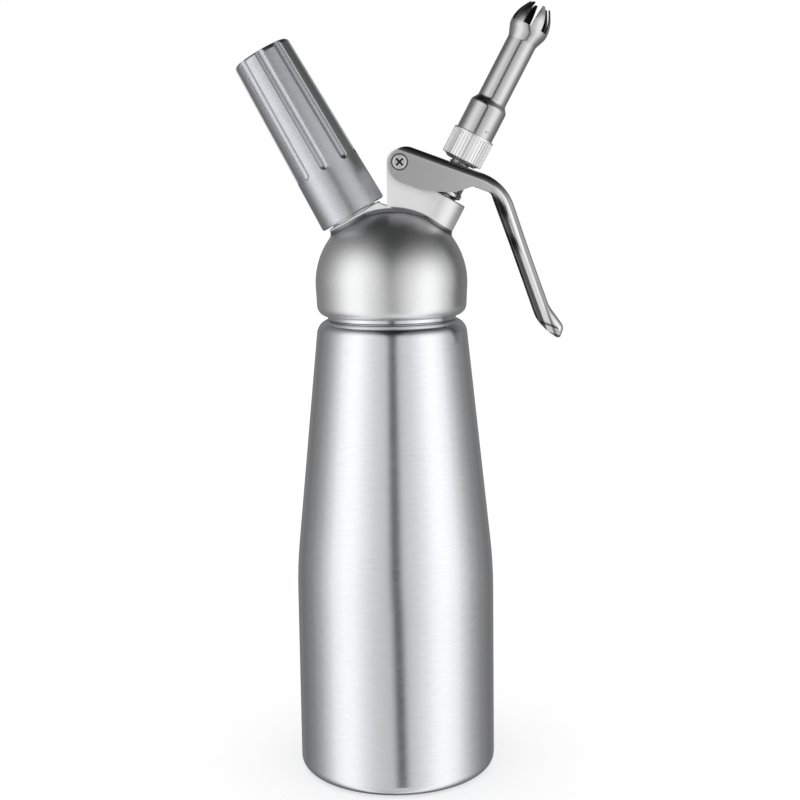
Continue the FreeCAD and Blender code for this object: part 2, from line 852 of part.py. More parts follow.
o_ring("stem_o_ring", stem_bore + d.ring_section, d.ring_height, d.ring_section, **valve_place)

seal_low = d.seat_height - d.poppet_seal_thickness
backing_low = seal_low - d.backing_thickness
nut_foot = backing_low - d.poppet_nut_height
ring("poppet_seal", stem_bore, d.poppet_seal_radius, seal_low, d.seat_height, **valve_place)
ring("seal_backing_washer", stem_bore, d.backing_radius, backing_low, seal_low, **valve_place)

poppet_nut = new_body("poppet_nut", **valve_place)
hexagon = new_sketch(poppet_nut, "hexagon", "XY_Plane", lift=nut_foot)
nut_sides = 6
half_side = as_size(180) / nut_sides
corner_radius = d.poppet_nut_flats / 2 / cosine(half_side)
corners = []
for side in range(nut_sides):
    angle = half_side * (2 * side + 1)
    corners.append((corner_radius * cosine(angle), corner_radius * sine(angle)))
outline(hexagon, corners)
extrude(poppet_nut, "hexagon_block", hexagon, d.poppet_nut_height)
nut_hole = circle(new_sketch(poppet_nut, "nut_hole_circle", "XY_Plane", lift=nut_foot), 0, 0, stem_bore)
extrude(poppet_nut, "nut_hole", nut_hole, d.poppet_nut_height, cut=True, backwards=True)

spring_low = spring_pocket_floor + d.spring_end_gap
spring_high = clip_low - d.cup_wall - d.spring_end_gap
wire_radius = d.spring_wire / 2
spring_radius = d.stem_radius + d.spring_stem_gap + wire_radius
spring = new_body("valve_spring", **valve_place)
wire = circle(new_sketch(spring, "wire_section"), spring_radius, spring_low + wire_radius, wire_radius)
coil = spring.newObject("PartDesign::AdditiveHelix", "coil")
coil.Profile = wire
coil.ReferenceAxis = (wire, ["V_Axis"])
coil.Mode = "height-turns-angle"
bind(coil, "Height", spring_high - spring_low - d.spring_wire)
bind(coil, "Turns", d.spring_turns)

cup_inside = spring_radius + wire_radius + d.cup_spring_gap
cup_outside = cup_inside + d.cup_wall
cup_low = clip_low - d.cup_skirt
spring_cup = new_body("spring_cup", **valve_place)
revolve(spring_cup, "cup_turned", [
    (stem_bore, clip_low - d.cup_wall),
    (cup_inside, clip_low - d.cup_wall),
    (cup_inside, cup_low),
    (cup_outside, cup_low),
    (cup_outside, clip_low, d.cup_crown),
    (stem_bore, clip_low),
])
bead_centre = cup_low
revolve(spring_cup, "cup_bead", [
    (cup_inside, bead_centre - d.cup_bead, d.cup_bead_edge),
    (cup_inside + d.cup_bead, bead_centre - d.cup_bead, d.cup_bead_round),
    (cup_inside + d.cup_bead, bead_centre + d.cup_bead_rise, d.cup_bead_top_round),
    (cup_inside, bead_centre + d.cup_bead),
])

stem_clip = new_body("stem_clip", **valve_place)
revolve(stem_clip, "clip_turned", [
    (clip_root + d.slip_gap, clip_low),
    (d.clip_radius, clip_low),
    (d.clip_radius, clip_top, d.clip_edge),
    (clip_root + d.slip_gap, clip_top),
])
half_opening = d.clip_opening / 2
opening = outline(new_sketch(stem_clip, "opening_outline", "XY_Plane", lift=clip_low), [
    (0, -half_opening),
    (d.clip_radius + below, -half_opening),
    (d.clip_radius + below, half_opening),
    (0, half_opening),
])
extrude(stem_clip, "clip_opening", opening, d.clip_thickness * 2, cut=True, backwards=True)

# %% Decorating tip, its adapter nut and the washer between adapter and stem

nut_high = nut_low + d.nut_height
washer_high = stem_top + d.washer_thickness
spigot_outside = d.tip_barrel_radius - d.tip_wall - d.slip_gap
ring("adapter_washer", d.washer_bore, d.stem_radius, stem_top, washer_high, **valve_place)

adapter = new_body("tip_adapter", **valve_place)
stem_nut_bore = stem_core + d.thread_gap
revolve(adapter, "adapter_turned", [
    (stem_nut_bore, nut_low - d.nut_foot_height),
    (d.nut_foot_end, nut_low - d.nut_foot_height),
    (d.nut_foot_radius, nut_low),
    (d.nut_radius, nut_low, d.nut_edge),
    (d.nut_radius, nut_high, d.nut_edge),
    (spigot_outside, nut_high),
    (spigot_outside, nut_high + d.spigot_height, d.nut_edge),
    (d.adapter_bore, nut_high + d.spigot_height),
    (d.adapter_bore, washer_high),
    (d.stem_radius + d.thread_gap, washer_high),
    (d.stem_radius + d.thread_gap, stem_top - d.stem_thread_relief),
    (stem_nut_bore, stem_top - d.stem_thread_relief),
])
thread(adapter, "adapter_groove", stem_core, d.stem_thread_depth, d.stem_thread_crest, d.stem_pitch,
       stem_thread_start, stem_thread_run + d.stem_thread_overrun, inside=True)
knurl = outline(new_sketch(adapter, "knurl_notch", "XY_Plane", lift=nut_low - below), [
    (d.nut_radius - d.knurl_depth, 0),
    (d.nut_radius + d.knurl_depth, -d.knurl_flare),
    (d.nut_radius + d.knurl_depth, d.knurl_flare),
])
knurl_length = d.nut_height - d.nut_edge * 2 + below
notch = extrude(adapter, "knurl_groove", knurl, knurl_length, cut=True, backwards=True)
repeat(adapter, "knurl", notch, d.knurl_count)

tip = new_body("decorating_tip", **valve_place)
tip_low = nut_high
wall = d.tip_wall
revolve(tip, "tip_turned", [
    (d.tip_barrel_radius, tip_low),
    (d.tip_barrel_radius, tip_low + d.tip_barrel_height, d.tip_barrel_round),
    (d.tip_tube_radius, tip_low + d.tip_tube_start, d.tip_tube_round),
    (d.tip_tube_radius, tip_low + d.bulb_start, d.tip_tube_round),
    (d.bulb_radius, tip_low + d.bulb_height, d.bulb_round),
    (d.bulb_top_radius, tip_low + d.bulb_top_height, d.bulb_top_round),
    (d.tip_mouth_radius, tip_low + d.tip_height),
    (d.tip_mouth_radius - wall, tip_low + d.tip_height),
    (d.bulb_top_radius - wall, tip_low + d.bulb_top_height, d.bulb_top_round - wall),
    (d.bulb_radius - wall, tip_low + d.bulb_height, d.bulb_round - wall),
    (d.tip_tube_radius - wall, tip_low + d.bulb_start, d.tip_tube_round + wall),
    (d.tip_tube_radius - wall, tip_low + d.tip_tube_start, d.tip_tube_round + wall),
    (d.tip_barrel_radius - wall, tip_low + d.tip_barrel_height, d.tip_barrel_round - wall),
    (d.tip_barrel_radius - wall, tip_low),
])
half_slot = d.tip_slot_width / 2
slot_floor = tip_low + d.tip_slot_floor
slot = outline(new_sketch(tip, "slot_outline", "XY_Plane", turn=d.tip_slot_turn, lift=slot_floor), [
    (0, -half_slot),
    (d.bulb_radius + below, -half_slot),
    (d.bulb_radius + below, half_slot),
    (0, half_slot),
])
first_slot = extrude(tip, "tooth_gap", slot, d.tip_height, cut=True, backwards=True)
repeat(tip, "tooth_gaps", first_slot, d.tip_slots)
mark_height = tip_low + d.dimple_height
mark = circle(new_sketch(tip, "crimp_mark_circle", "XY_Plane", turn=d.dimple_turn, lift=mark_height),
              d.tip_barrel_radius + d.dimple_radius - d.dimple_depth, 0, d.dimple_radius)
dimple = extrude(tip, "crimp_mark", mark, d.dimple_width, cut=True, middle=True)
repeat(tip, "crimp_marks", dimple, d.dimple_count)

# %% Charger port: the threaded plug in the head that pierces the charger

charger_place = {"height": charger_origin, "tilt": d.charger_tilt, "towards": -1}
port = new_body("charger_port", **charger_place)
passage = d.pin_radius + d.slip_gap
ring_inner = d.port_ring_radius - d.port_ring_section - d.slip_gap
ring_outer = d.port_ring_radius + d.port_ring_section + d.slip_gap
ring_deep = d.port_floor + (d.port_ring_section + d.slip_gap) * 2
revolve(port, "port_turned", [
    (d.port_passage_radius, d.passage_floor),
    (0, d.passage_floor),
    (0, d.spigot_foot),
    (d.spigot_radius, d.spigot_foot, d.stem_edge),
    (d.spigot_radius, d.port_floor),
    (ring_inner, d.port_floor),
    (ring_inner, ring_deep),
    (ring_outer, ring_deep),
    (ring_outer, d.port_floor),
    (d.port_plug_radius, d.port_floor),
    (d.port_plug_radius, d.port_face),
    (d.port_core_radius, d.port_face),
    (d.port_core_radius, d.port_top, d.stem_edge),
    (d.port_mouth_radius, d.port_top),
    (d.port_well_radius, d.port_well_floor + d.port_well_depth),
    (d.port_well_radius, d.port_well_floor),
    (passage, d.port_well_floor),
    (passage, d.pin_foot),
    (d.port_passage_radius, d.pin_foot),
])
gas_hole = circle(new_sketch(port, "gas_hole_circle"), 0, d.spigot_hole_height, d.port_passage_radius)
extrude(port, "gas_holes", gas_hole, d.spigot_radius * 4, cut=True, middle=True)
thread(port, "port_thread", d.port_core_radius, d.port_thread_depth, d.port_thread_crest, d.port_pitch,
       d.port_thread_start, d.port_thread_length)

o_ring("port_o_ring", d.port_ring_radius, d.port_floor + d.port_ring_section, d.port_ring_section,
       **charger_place)

ring("non_return_sleeve", d.spigot_radius + d.slip_gap, d.spigot_radius + d.sleeve_wall, d.sleeve_foot,
     d.sleeve_foot + d.sleeve_length, edge=d.sleeve_edge, **charger_place)

pin = new_body("piercing_pin", **charger_place)
revolve(pin, "pin_turned", [
    (d.pin_bore, d.pin_foot),
    (d.pin_radius, d.pin_foot),
    (d.pin_radius, d.pin_tip - d.pin_point),
    (d.pin_bore + d.slip_gap, d.pin_tip),
    (d.pin_bore, d.pin_tip),
])

seal_top = d.port_well_floor + d.seal_thickness
seal_radius = d.port_well_radius - d.slip_gap
ring("charger_seal", d.seal_bore, seal_radius, d.port_well_floor, seal_top, **charger_place)

# %% Gas charger: a small steel bulb, neck down on the pin

charger_low = seal_top + d.charger_seal_gap
charger_high = charger_low + d.charger_length
charger_inside = d.charger_radius - d.charger_wall
neck_inside = d.charger_neck_radius - d.charger_wall
neck_end = charger_low + d.charger_neck_length
shoulder_end = charger_low + d.charger_shoulder
charger = new_body("gas_charger", **charger_place)
revolve(charger, "charger_turned", [
    (d.charger_cap_hole, charger_low),
    (d.charger_neck_radius, charger_low, d.stem_edge),
    (d.charger_neck_radius, neck_end, d.charger_neck_round),
    (d.charger_radius, shoulder_end, d.charger_shoulder_round),
    (d.charger_radius, charger_high, d.charger_base_round),
    (0, charger_high),
    (0, charger_high - d.charger_wall),
    (charger_inside, charger_high - d.charger_wall, d.charger_base_round - d.charger_wall),
    (charger_inside, shoulder_end, d.charger_shoulder_round - d.charger_wall),
    (neck_inside, neck_end, d.charger_neck_round),
    (neck_inside, charger_low + d.charger_cap),
    (d.charger_cap_hole, charger_low + d.charger_cap),
])

# %% Charger holder

holder_inside_end = charger_high + d.holder_end_gap
holder_end = holder_inside_end + d.holder_end_wall
holder = new_body("charger_holder", **charger_place)
holder_thread_bore = d.port_core_radius + d.thread_gap
revolve(holder, "holder_turned", [
    (holder_thread_bore, d.holder_rim),
    (d.holder_rim_radius - d.holder_rim_edge, d.holder_rim),
    (d.holder_rim_radius, d.holder_rim + d.holder_rim_edge),
    (d.holder_end_radius, holder_end, d.holder_end_round),
    (0, holder_end + d.holder_crown),
    (0, holder_inside_end),
    (d.holder_bore_radius, holder_inside_end, d.holder_bore_round),
    (d.holder_bore_radius, d.holder_bore_start),
    (holder_thread_bore, d.holder_bore_start),
])
rim_turns = 2
thread(holder, "holder_groove", d.port_core_radius, d.port_thread_depth, d.port_thread_crest, d.port_pitch,
       d.port_thread_start - d.port_pitch * rim_turns, d.port_thread_length + d.port_pitch * rim_turns,
       inside=True)
holder_run = holder_end - d.holder_rim
taper = (d.holder_rim_radius - d.holder_end_radius) / holder_run
flute_from = d.holder_rim_radius - taper * (d.flute_start - d.holder_rim) + d.flute_radius - d.flute_depth
taper_angle = math.degrees(math.atan(taper.value))
flute_sketch = outline(new_sketch(holder, "flute_profile"), [
    (0, -d.flute_radius),
    Arc(d.flute_radius, 0, 0, 0),
    (d.flute_radius, holder_run),
    (0, holder_run),
])
spoke = FreeCAD.Rotation(FreeCAD.Vector(0, 1, 0), d.flute_turn.value)
flute_base = spoke.multVec(FreeCAD.Vector(flute_from.value, d.flute_start.value, 0))
lean_in = FreeCAD.Rotation(FreeCAD.Vector(0, 0, 1), taper_angle)
flute_sketch.AttachmentOffset = FreeCAD.Placement(flute_base, spoke.multiply(lean_in))
doc.recompute()
solid_holder = volume(holder)
flute = holder.newObject("PartDesign::Groove", "flute")
flute.Profile = flute_sketch
flute.ReferenceAxis = (flute_sketch, ["V_Axis"])
flute.Angle = 360
must_cut(holder, "flute", solid_holder)
repeat(holder, "flutes", flute, d.flute_count)

# %% Lever: one pressed sheet, a channel over the lug that runs out into a rolled handle

ear_radius = (d.web_top + d.flange_bottom) / 2
ear_level = (d.web_top - d.flange_bottom) / 2
blank_start = d.ear_centre - ear_radius - below
far_below = d.handle_end_low + d.handle_length


def handle_corners(inset):
    """The outer line of the lever's sheet from web to handle end, inset by a thickness."""
    def shifted(x, y, before, after):
        share = as_size(inset) / (1 + cosine(before - after))
        return (x - share * (sine(before) + sine(after)), y - share * (cosine(before) + cosine(after)))

    level = as_size(0)
    steep = d.bend_turn
    tail = d.bend_turn - d.flare_turn
    flare_x = d.bend_x + d.handle_length * cosine(steep)
    flare_y = d.web_top - d.handle_length * sine(steep)
    tail_run = d.handle_end_x - flare_x
    end_y = flare_y - tail_run * tangent(tail)
    bend = shifted(d.bend_x, d.web_top, level, steep)
    flare = shifted(flare_x, flare_y, steep, tail)
    end = shifted(d.handle_end_x, end_y, tail, as_size(90))
    return bend, flare, end


def blank_side(sketch, inset):
    """The side view of the lever's blank: its bent sheet line on top, and straight ends far below."""
    bend, flare, end = handle_corners(inset)
    outline(sketch, [
        (blank_start, d.web_top - inset),
        bend + (d.bend_round - inset,),
        flare + (d.flare_round + inset,),
        end + (d.handle_end_round - inset,),
        (d.handle_end_x - inset, -far_below),
        (blank_start, -far_below),
    ])
    return sketch


def narrow(body, name, inset):
    """Trims both sides of the handle to its waist and tail, and leaves the channel full width."""
    full = d.lever_half_width - inset
    waist = d.waist_half_width - inset
    tail = d.tail_half_width - inset
    outside = d.lever_half_width + below
    lowest = -far_below - below
    for side, sign in (("left", 1), ("right", -1)):
        trim = outline(new_sketch(body, name + "_" + side, "YZ_Plane", lift=d.trim_x), [
            (sign * full, d.web_top + below),
            (sign * full, -d.waist_start, d.waist_round),
            (sign * waist, -d.waist_top, d.waist_round),
            (sign * waist, -d.waist_low, d.waist_round),
            (sign * tail, -d.tail_top, d.tail_round),
            (sign * tail, lowest),
            (sign * outside, lowest),
            (sign * outside, d.web_top + below),
        ])
        extrude(body, name + "_cut_" + side, trim, d.handle_end_x, cut=True, backwards=True)


def round_tip(body, name, inset):
    """Rounds the two corners at the handle's end."""
    tail = d.tail_half_width - inset
    low = inset - d.handle_end_low
    lowest = -far_below - below
    for side, sign in (("left", 1), ("right", -1)):
        start = d.handle_end_x - d.handle_tip_length
        corner = outline(new_sketch(body, name + "_" + side, "YZ_Plane", lift=start), [
            (sign * tail, -d.tail_top),
            (sign * tail, low, d.handle_tip_round - inset),
            (0, low),
            (0, lowest),
            (sign * d.lever_half_width, lowest),
            (sign * d.lever_half_width, -d.tail_top),
        ])
        extrude(body, name + "_cut_" + side, corner, d.handle_end_x, cut=True, backwards=True)


skirt_x = d.bend_x - d.handle_depth * sine(d.bend_turn)
skirt_y = d.web_top - d.handle_depth * cosine(d.bend_turn)


def on_skirt(x):
    """The height of the handle's lower edge line at x."""
    return skirt_y - (x - skirt_x) * tangent(d.bend_turn)


lever = new_body("lever", height=pivot_height, tilt=d.lever_slope, x=d.pivot_x)
blank_side(new_sketch(lever, "blank_outline"), 0)
extrude(lever, "blank", doc.getObject("blank_outline"), d.lever_half_width * 2, middle=True)
narrow(lever, "waist", as_size(0))


def sheet_edge(edge, middle, normals):
    """True where the sheet's outer line meets one of its sides."""
    on_top = any(abs(n.y) < 0.1 and n.z > 0.05 and n.x + n.z > 0.3 for n in normals)
    on_side = any(abs(n.y) > 0.6 for n in normals)
    return on_top and on_side and abs(middle.y) > 1


soften(lever, "sheet_edges_rounded", d.sheet_round, sheet_edge)
round_tip(lever, "tip_corner", as_size(0))

hollow = new_body("lever_hollow")
sub_parts.remove(hollow)
blank_side(new_sketch(hollow, "hollow_outline"), d.lever_sheet)
extrude(hollow, "hollow_block", doc.getObject("hollow_outline"), (d.lever_half_width - d.lever_sheet) * 2,
        middle=True)
narrow(hollow, "hollow_waist", d.lever_sheet)
soften(hollow, "hollow_edges_rounded", d.sheet_round - d.lever_sheet, sheet_edge)
round_tip(hollow, "hollow_tip_corner", d.lever_sheet)
doc.recompute()
solid_lever = volume(lever)
hollowed = lever.newObject("PartDesign::Boolean", "hollowed")
hollowed.Type = "Cut"
hollowed.setObjects([hollow])
must_cut(lever, "hollowed", solid_lever)

# the sheet's free edge, from round the ear, along the flange and the skirt, to the handle's end
skirt_top_x = skirt_x + (skirt_y - d.flange_notch) / tangent(d.bend_turn)
free_edge = outline(new_sketch(lever, "free_edge"), [
    (d.ear_centre, d.web_top),
    Arc(d.ear_centre, -d.flange_bottom, d.ear_centre, ear_level),
    (d.flange_straight, -d.flange_bottom, d.flange_round),
    (d.flange_rise_x, -d.flange_rise, d.flange_round),
    (d.flange_notch_x, d.flange_notch, d.notch_round),
    (skirt_top_x, d.flange_notch, d.skirt_top_round),
    (d.skirt_low_x, on_skirt(d.skirt_low_x), d.skirt_round),
    (d.handle_end_x - d.handle_end_cut, -d.handle_end_low),
    (d.handle_end_x + below, below + d.handle_end_cut - d.handle_end_low),
    (d.handle_end_x + below, -far_below - below),
    (blank_start - below, -far_below - below),
    (blank_start - below, d.web_top + below),
    (d.ear_centre, d.web_top + below),
])
extrude(lever, "trimmed", free_edge, d.lever_half_width * 4, cut=True, middle=True)

pin_holes = circle(new_sketch(lever, "pin_hole_circle"), 0, 0, d.pivot_pin_radius + d.pivot_run_gap)
extrude(lever, "pin_holes", pin_holes, d.lever_half_width * 4, cut=True, middle=True)
for side, sign in (("left", 1), ("right", -1)):
    recess = circle(new_sketch(lever, "screw_recess_" + side, lift=sign * d.lever_half_width), 0, 0,
                    d.screw_recess_radius)
    extrude(lever, "screw_recess_cut_" + side, recess, d.screw_recess_depth, cut=True, backwards=sign < 0)
stem_slot = outline(new_sketch(lever, "stem_slot_outline", "XY_Plane", lift=web_under - below), [
    (d.slot_centre - d.slot_half_length, -d.slot_half_width, d.slot_round),
    (d.slot_centre + d.slot_half_length, -d.slot_half_width, d.slot_round),
    (d.slot_centre + d.slot_half_length, d.slot_half_width, d.slot_round),
    (d.slot_centre - d.slot_half_length, d.slot_half_width, d.slot_round),
])
extrude(lever, "stem_slot", stem_slot, d.lever_sheet + below * 2, cut=True, backwards=True)

# %% Pivot: a barrel through the lug, and a cross-head screw in each end of it

pivot_place = {"height": pivot_height, "x": d.pivot_x, "tilt": d.lever_slope}
barrel_end = d.lever_half_width - d.screw_recess_depth + d.screw_head_gap
barrel = new_body("pivot_barrel", **pivot_place)
barrel_circle = circle(new_sketch(barrel, "barrel_circle"), 0, 0, d.pivot_pin_radius)
extrude(barrel, "barrel_block", barrel_circle, barrel_end * 2, middle=True)
screw_hole = circle(new_sketch(barrel, "screw_hole_circle"), 0, 0, d.screw_shank_radius + d.slip_gap)
extrude(barrel, "screw_holes", screw_hole, barrel_end * 4, cut=True, middle=True)

screws = new_body("pivot_screws", **pivot_place)
screw_top = barrel_end + d.screw_head_height
arm = d.cross_length / 2
half_arm = d.cross_width / 2
for side, sign in (("left", 1), ("right", -1)):
    revolve(screws, "screw_turned_" + side, [
        (0, sign * (barrel_end - d.screw_shank_length)),
        (d.screw_shank_radius, sign * (barrel_end - d.screw_shank_length)),
        (d.screw_shank_radius, sign * barrel_end),
        (d.screw_head_radius, sign * barrel_end),
        (d.screw_head_radius, sign * screw_top, d.screw_head_round),
        (0, sign * screw_top),
    ], plane="XY_Plane")
    cross = outline(new_sketch(screws, "cross_" + side, turn=d.cross_turn, lift=-sign * screw_top), [
        (half_arm, -arm),
        (half_arm, -half_arm),
        (arm, -half_arm),
        (arm, half_arm),
        (half_arm, half_arm),
        (half_arm, arm),
        (-half_arm, arm),
        (-half_arm, half_arm),
        (-arm, half_arm),
        (-arm, -half_arm),
        (-half_arm, -half_arm),
        (-half_arm, -arm),
    ])
    extrude(screws, "cross_recess_" + side, cross, d.cross_depth, cut=True, backwards=sign > 0)

# %% Check every object, then write one file for each sub-part

doc.recompute()
for item in doc.Objects:
    if "Invalid" in item.State or "Error" in item.State:
        raise RuntimeError("failed: " + item.Label + " " + str(item.State))
os.makedirs("parts", exist_ok=True)
for body in sub_parts:
    shape = body.Shape
    if shape.isNull() or not shape.isValid() or not shape.Solids:
        raise RuntimeError("no sound solid: " + body.Label)
for body in sub_parts:
    body.Shape.exportStep("parts/" + body.Label + ".step")
    print(body.Label, len(body.Shape.Solids), round(body.Shape.Volume, 1))
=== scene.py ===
# %% [markdown]
# # A whipped cream dispenser
# The dispenser is all metal: a brushed aluminium bottle, a cast head with a blasted dome, a fluted
# charger holder, a pressed steel lever and a steel tip. Metal has almost no colour of its own, so
# its looks come from what it reflects and from how fine its surface is. This lesson spends its care
# on those two things: the studio that the metal mirrors, and the finish of each piece.
#
# The first cell loads the frame, with every solid as a node of its own name.

import json
import math

import bpy
import bmesh
from mathutils import Matrix, Vector


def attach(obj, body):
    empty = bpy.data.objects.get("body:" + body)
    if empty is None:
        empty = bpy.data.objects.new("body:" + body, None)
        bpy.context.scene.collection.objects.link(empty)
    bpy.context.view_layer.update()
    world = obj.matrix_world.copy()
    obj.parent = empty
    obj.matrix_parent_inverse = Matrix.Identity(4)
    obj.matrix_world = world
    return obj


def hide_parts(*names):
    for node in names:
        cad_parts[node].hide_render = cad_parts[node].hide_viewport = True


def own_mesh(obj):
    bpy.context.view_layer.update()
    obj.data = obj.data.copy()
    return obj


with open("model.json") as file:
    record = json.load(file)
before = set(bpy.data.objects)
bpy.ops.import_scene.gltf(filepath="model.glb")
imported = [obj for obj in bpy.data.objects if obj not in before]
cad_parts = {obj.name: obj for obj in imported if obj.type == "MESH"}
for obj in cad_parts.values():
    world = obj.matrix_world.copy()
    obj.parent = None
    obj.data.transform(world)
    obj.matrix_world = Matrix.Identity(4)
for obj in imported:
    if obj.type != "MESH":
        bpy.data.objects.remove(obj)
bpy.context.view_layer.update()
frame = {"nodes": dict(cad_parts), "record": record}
nodes = frame["nodes"]
scene = bpy.context.scene
scene.view_settings.view_transform = "Standard"

# %% [markdown]
# ## Camera
# The camera stands a little above the bottle's shoulder and looks slightly down on it, so the base
# reads as a shallow curve. A long lens keeps the sides nearly parallel. Its turn is written as
# three axes: that is exact, and it takes a small roll without any thought about rotation orders.

# %% Camera
CAMERA_PLACE = Vector((0.00276, -0.5803, 0.2408))
LOOK_DOWN = math.radians(8.70)
ROLL = math.radians(-0.769)
LENS = 65.556

forward = Vector((0, math.cos(LOOK_DOWN), -math.sin(LOOK_DOWN)))
level_right = Vector((1, 0, 0))
level_up = level_right.cross(forward)
right = level_right * math.cos(ROLL) + level_up * math.sin(ROLL)
up = level_up * math.cos(ROLL) - level_right * math.sin(ROLL)
camera = bpy.data.objects.new("camera", bpy.data.cameras.new("camera"))
camera.data.lens = LENS
turn = Matrix((right, up, -forward)).transposed().to_4x4()
camera.matrix_world = Matrix.Translation(CAMERA_PLACE) @ turn
scene.collection.objects.link(camera)
scene.camera = camera
print("camera looks along", [round(v, 3) for v in forward])

# %% [markdown]
# ## Small helpers for node trees
# Every material here is a tree of nodes. Four short helpers keep each tree readable as a recipe:
# one adds a node with its settings, one joins sockets, one empties a tree to start from, and one
# makes a ramp of greys.


# %% Node helpers
def add(tree, kind, at=None, **settings):
    """A new node; settings are its properties, and at gives values for its input sockets."""
    node = tree.nodes.new(kind)
    for name, value in settings.items():
        setattr(node, name, value)
    for socket, value in (at or {}).items():
        node.inputs[socket].default_value = value
    return node


def join(tree, *pairs):
    """Links each (output socket, input socket) pair."""
    for source, target in pairs:
        tree.links.new(source, target)


def empty_tree(owner):
    """The node tree of a material or world, with nothing in it."""
    owner.use_nodes = True
    owner.node_tree.nodes.clear()
    return owner.node_tree


def ramp(tree, stops):
    """A Color Ramp with grey stops, each (position, brightness), eased from one to the next."""
    node = tree.nodes.new("ShaderNodeValToRGB")
    node.color_ramp.interpolation = "EASE"
    for _ in stops[2:]:
        node.color_ramp.elements.new(0.5)
    for element, (position, grey) in zip(node.color_ramp.elements, stops):
        element.position = position
        element.color = (grey, grey, grey, 1)
    return node


print("helpers:", ", ".join(helper.__name__ for helper in (add, join, empty_tree, ramp)))

# %% [markdown]
# ## White studio
# The world is plain white where the camera or a reflection looks at it, and a little dimmer as a
# light, so that white is white and pale metal still has shape.

# %% World
SKY_LIGHT = 0.85

world = bpy.data.worlds.new("studio")
scene.world = world
sky = empty_tree(world)
rays = add(sky, "ShaderNodeLightPath")
mirrored = add(sky, "ShaderNodeMath", operation="MAXIMUM")
seen = add(sky, "ShaderNodeMath", operation="MAXIMUM")
strength = add(sky, "ShaderNodeMapRange", {"To Min": SKY_LIGHT})
background = add(sky, "ShaderNodeBackground", {"Color": (1, 1, 1, 1)})
world_out = add(sky, "ShaderNodeOutputWorld")
join(sky,
     (rays.outputs["Is Glossy Ray"], mirrored.inputs[0]),
     (rays.outputs["Is Transmission Ray"], mirrored.inputs[1]),
     (mirrored.outputs[0], seen.inputs[0]),
     (rays.outputs["Is Camera Ray"], seen.inputs[1]),
     (seen.outputs[0], strength.inputs["Value"]),
     (strength.outputs["Result"], background.inputs["Strength"]),
     (background.outputs[0], world_out.inputs["Surface"]))
print("world:", len(sky.nodes), "nodes")

# %% [markdown]
# ## Floor
# The floor is a wide disc a hair below the base. It glows just enough, and only for the camera,
# that it runs into the white of the world with no edge, while the shade under the bottle still
# shows on it.

# %% Floor
FLOOR_RADIUS = 4.0
FLOOR_SIDES = 96
FLOOR_DROP = 0.0002
FLOOR_COLOUR = (0.75, 0.75, 0.76, 1)
FLOOR_GLOW = 0.42


def place_mesh(name, shape):
    """Turns a finished bmesh into an object."""
    mesh = bpy.data.meshes.new(name)
    shape.to_mesh(mesh)
    shape.free()
    piece = bpy.data.objects.new(name, mesh)
    scene.collection.objects.link(piece)
    return piece


round_floor = bmesh.new()
bmesh.ops.create_circle(round_floor, cap_ends=True, segments=FLOOR_SIDES, radius=FLOOR_RADIUS)
bmesh.ops.translate(round_floor, vec=(0, 0, -FLOOR_DROP), verts=round_floor.verts)
floor = place_mesh("floor", round_floor)
floor_paint = bpy.data.materials.new("floor_paint")
paint = empty_tree(floor_paint)
floor_rays = add(paint, "ShaderNodeLightPath")
glow_strength = add(paint, "ShaderNodeMath", {1: FLOOR_GLOW}, operation="MULTIPLY")
glow = add(paint, "ShaderNodeEmission")
matt = add(paint, "ShaderNodeBsdfDiffuse", {"Color": FLOOR_COLOUR})
glowing_matt = add(paint, "ShaderNodeAddShader")
floor_out = add(paint, "ShaderNodeOutputMaterial")
join(paint,
     (floor_rays.outputs["Is Camera Ray"], glow_strength.inputs[0]),
     (glow_strength.outputs[0], glow.inputs["Strength"]),
     (glow.outputs[0], glowing_matt.inputs[0]),
     (matt.outputs[0], glowing_matt.inputs[1]),
     (glowing_matt.outputs[0], floor_out.inputs["Surface"]))
floor.data.materials.append(floor_paint)
floor.visible_glossy = False
print("floor:", 2 * FLOOR_RADIUS, "m across")

# %% [markdown]
# ## Light tent
# A round metal thing in an evenly white room would have no edges at all. In a studio it stands in a
# tent of white cloth that is bright at both sides, dimmer towards the camera, and dark behind and
# overhead. Here the tent is a large ball round the piece that only reflections see. It leans a
# little, so the light comes from higher up on the left.

# %% Tent's shape
TENT_RADIUS = 1.6
TENT_SEGMENTS = 48
TENT_RINGS = 24
TENT_CENTRE = Vector((0, 0, 0.2))


def only_mirrored(piece):
    """Makes a stage piece show in reflections and nowhere else."""
    piece.visible_camera = False
    piece.visible_diffuse = False
    piece.visible_transmission = False
    piece.visible_shadow = False


ball = bmesh.new()
bmesh.ops.create_uvsphere(ball, u_segments=TENT_SEGMENTS, v_segments=TENT_RINGS, radius=TENT_RADIUS)
bmesh.ops.translate(ball, vec=TENT_CENTRE, verts=ball.verts)
tent = place_mesh("tent", ball)
print("tent:", len(tent.data.polygons), "faces")

# %% [markdown]
# ## Where a point of the tent lies
# Two shares say where a point of the cloth is: its bearing, from 0 towards the camera to 1 behind,
# and its height, from 0 underfoot to 1 overhead. Both are worked out from the point's direction.

# %% Bearing and height
TENT_LEAN = math.radians(-5.0)

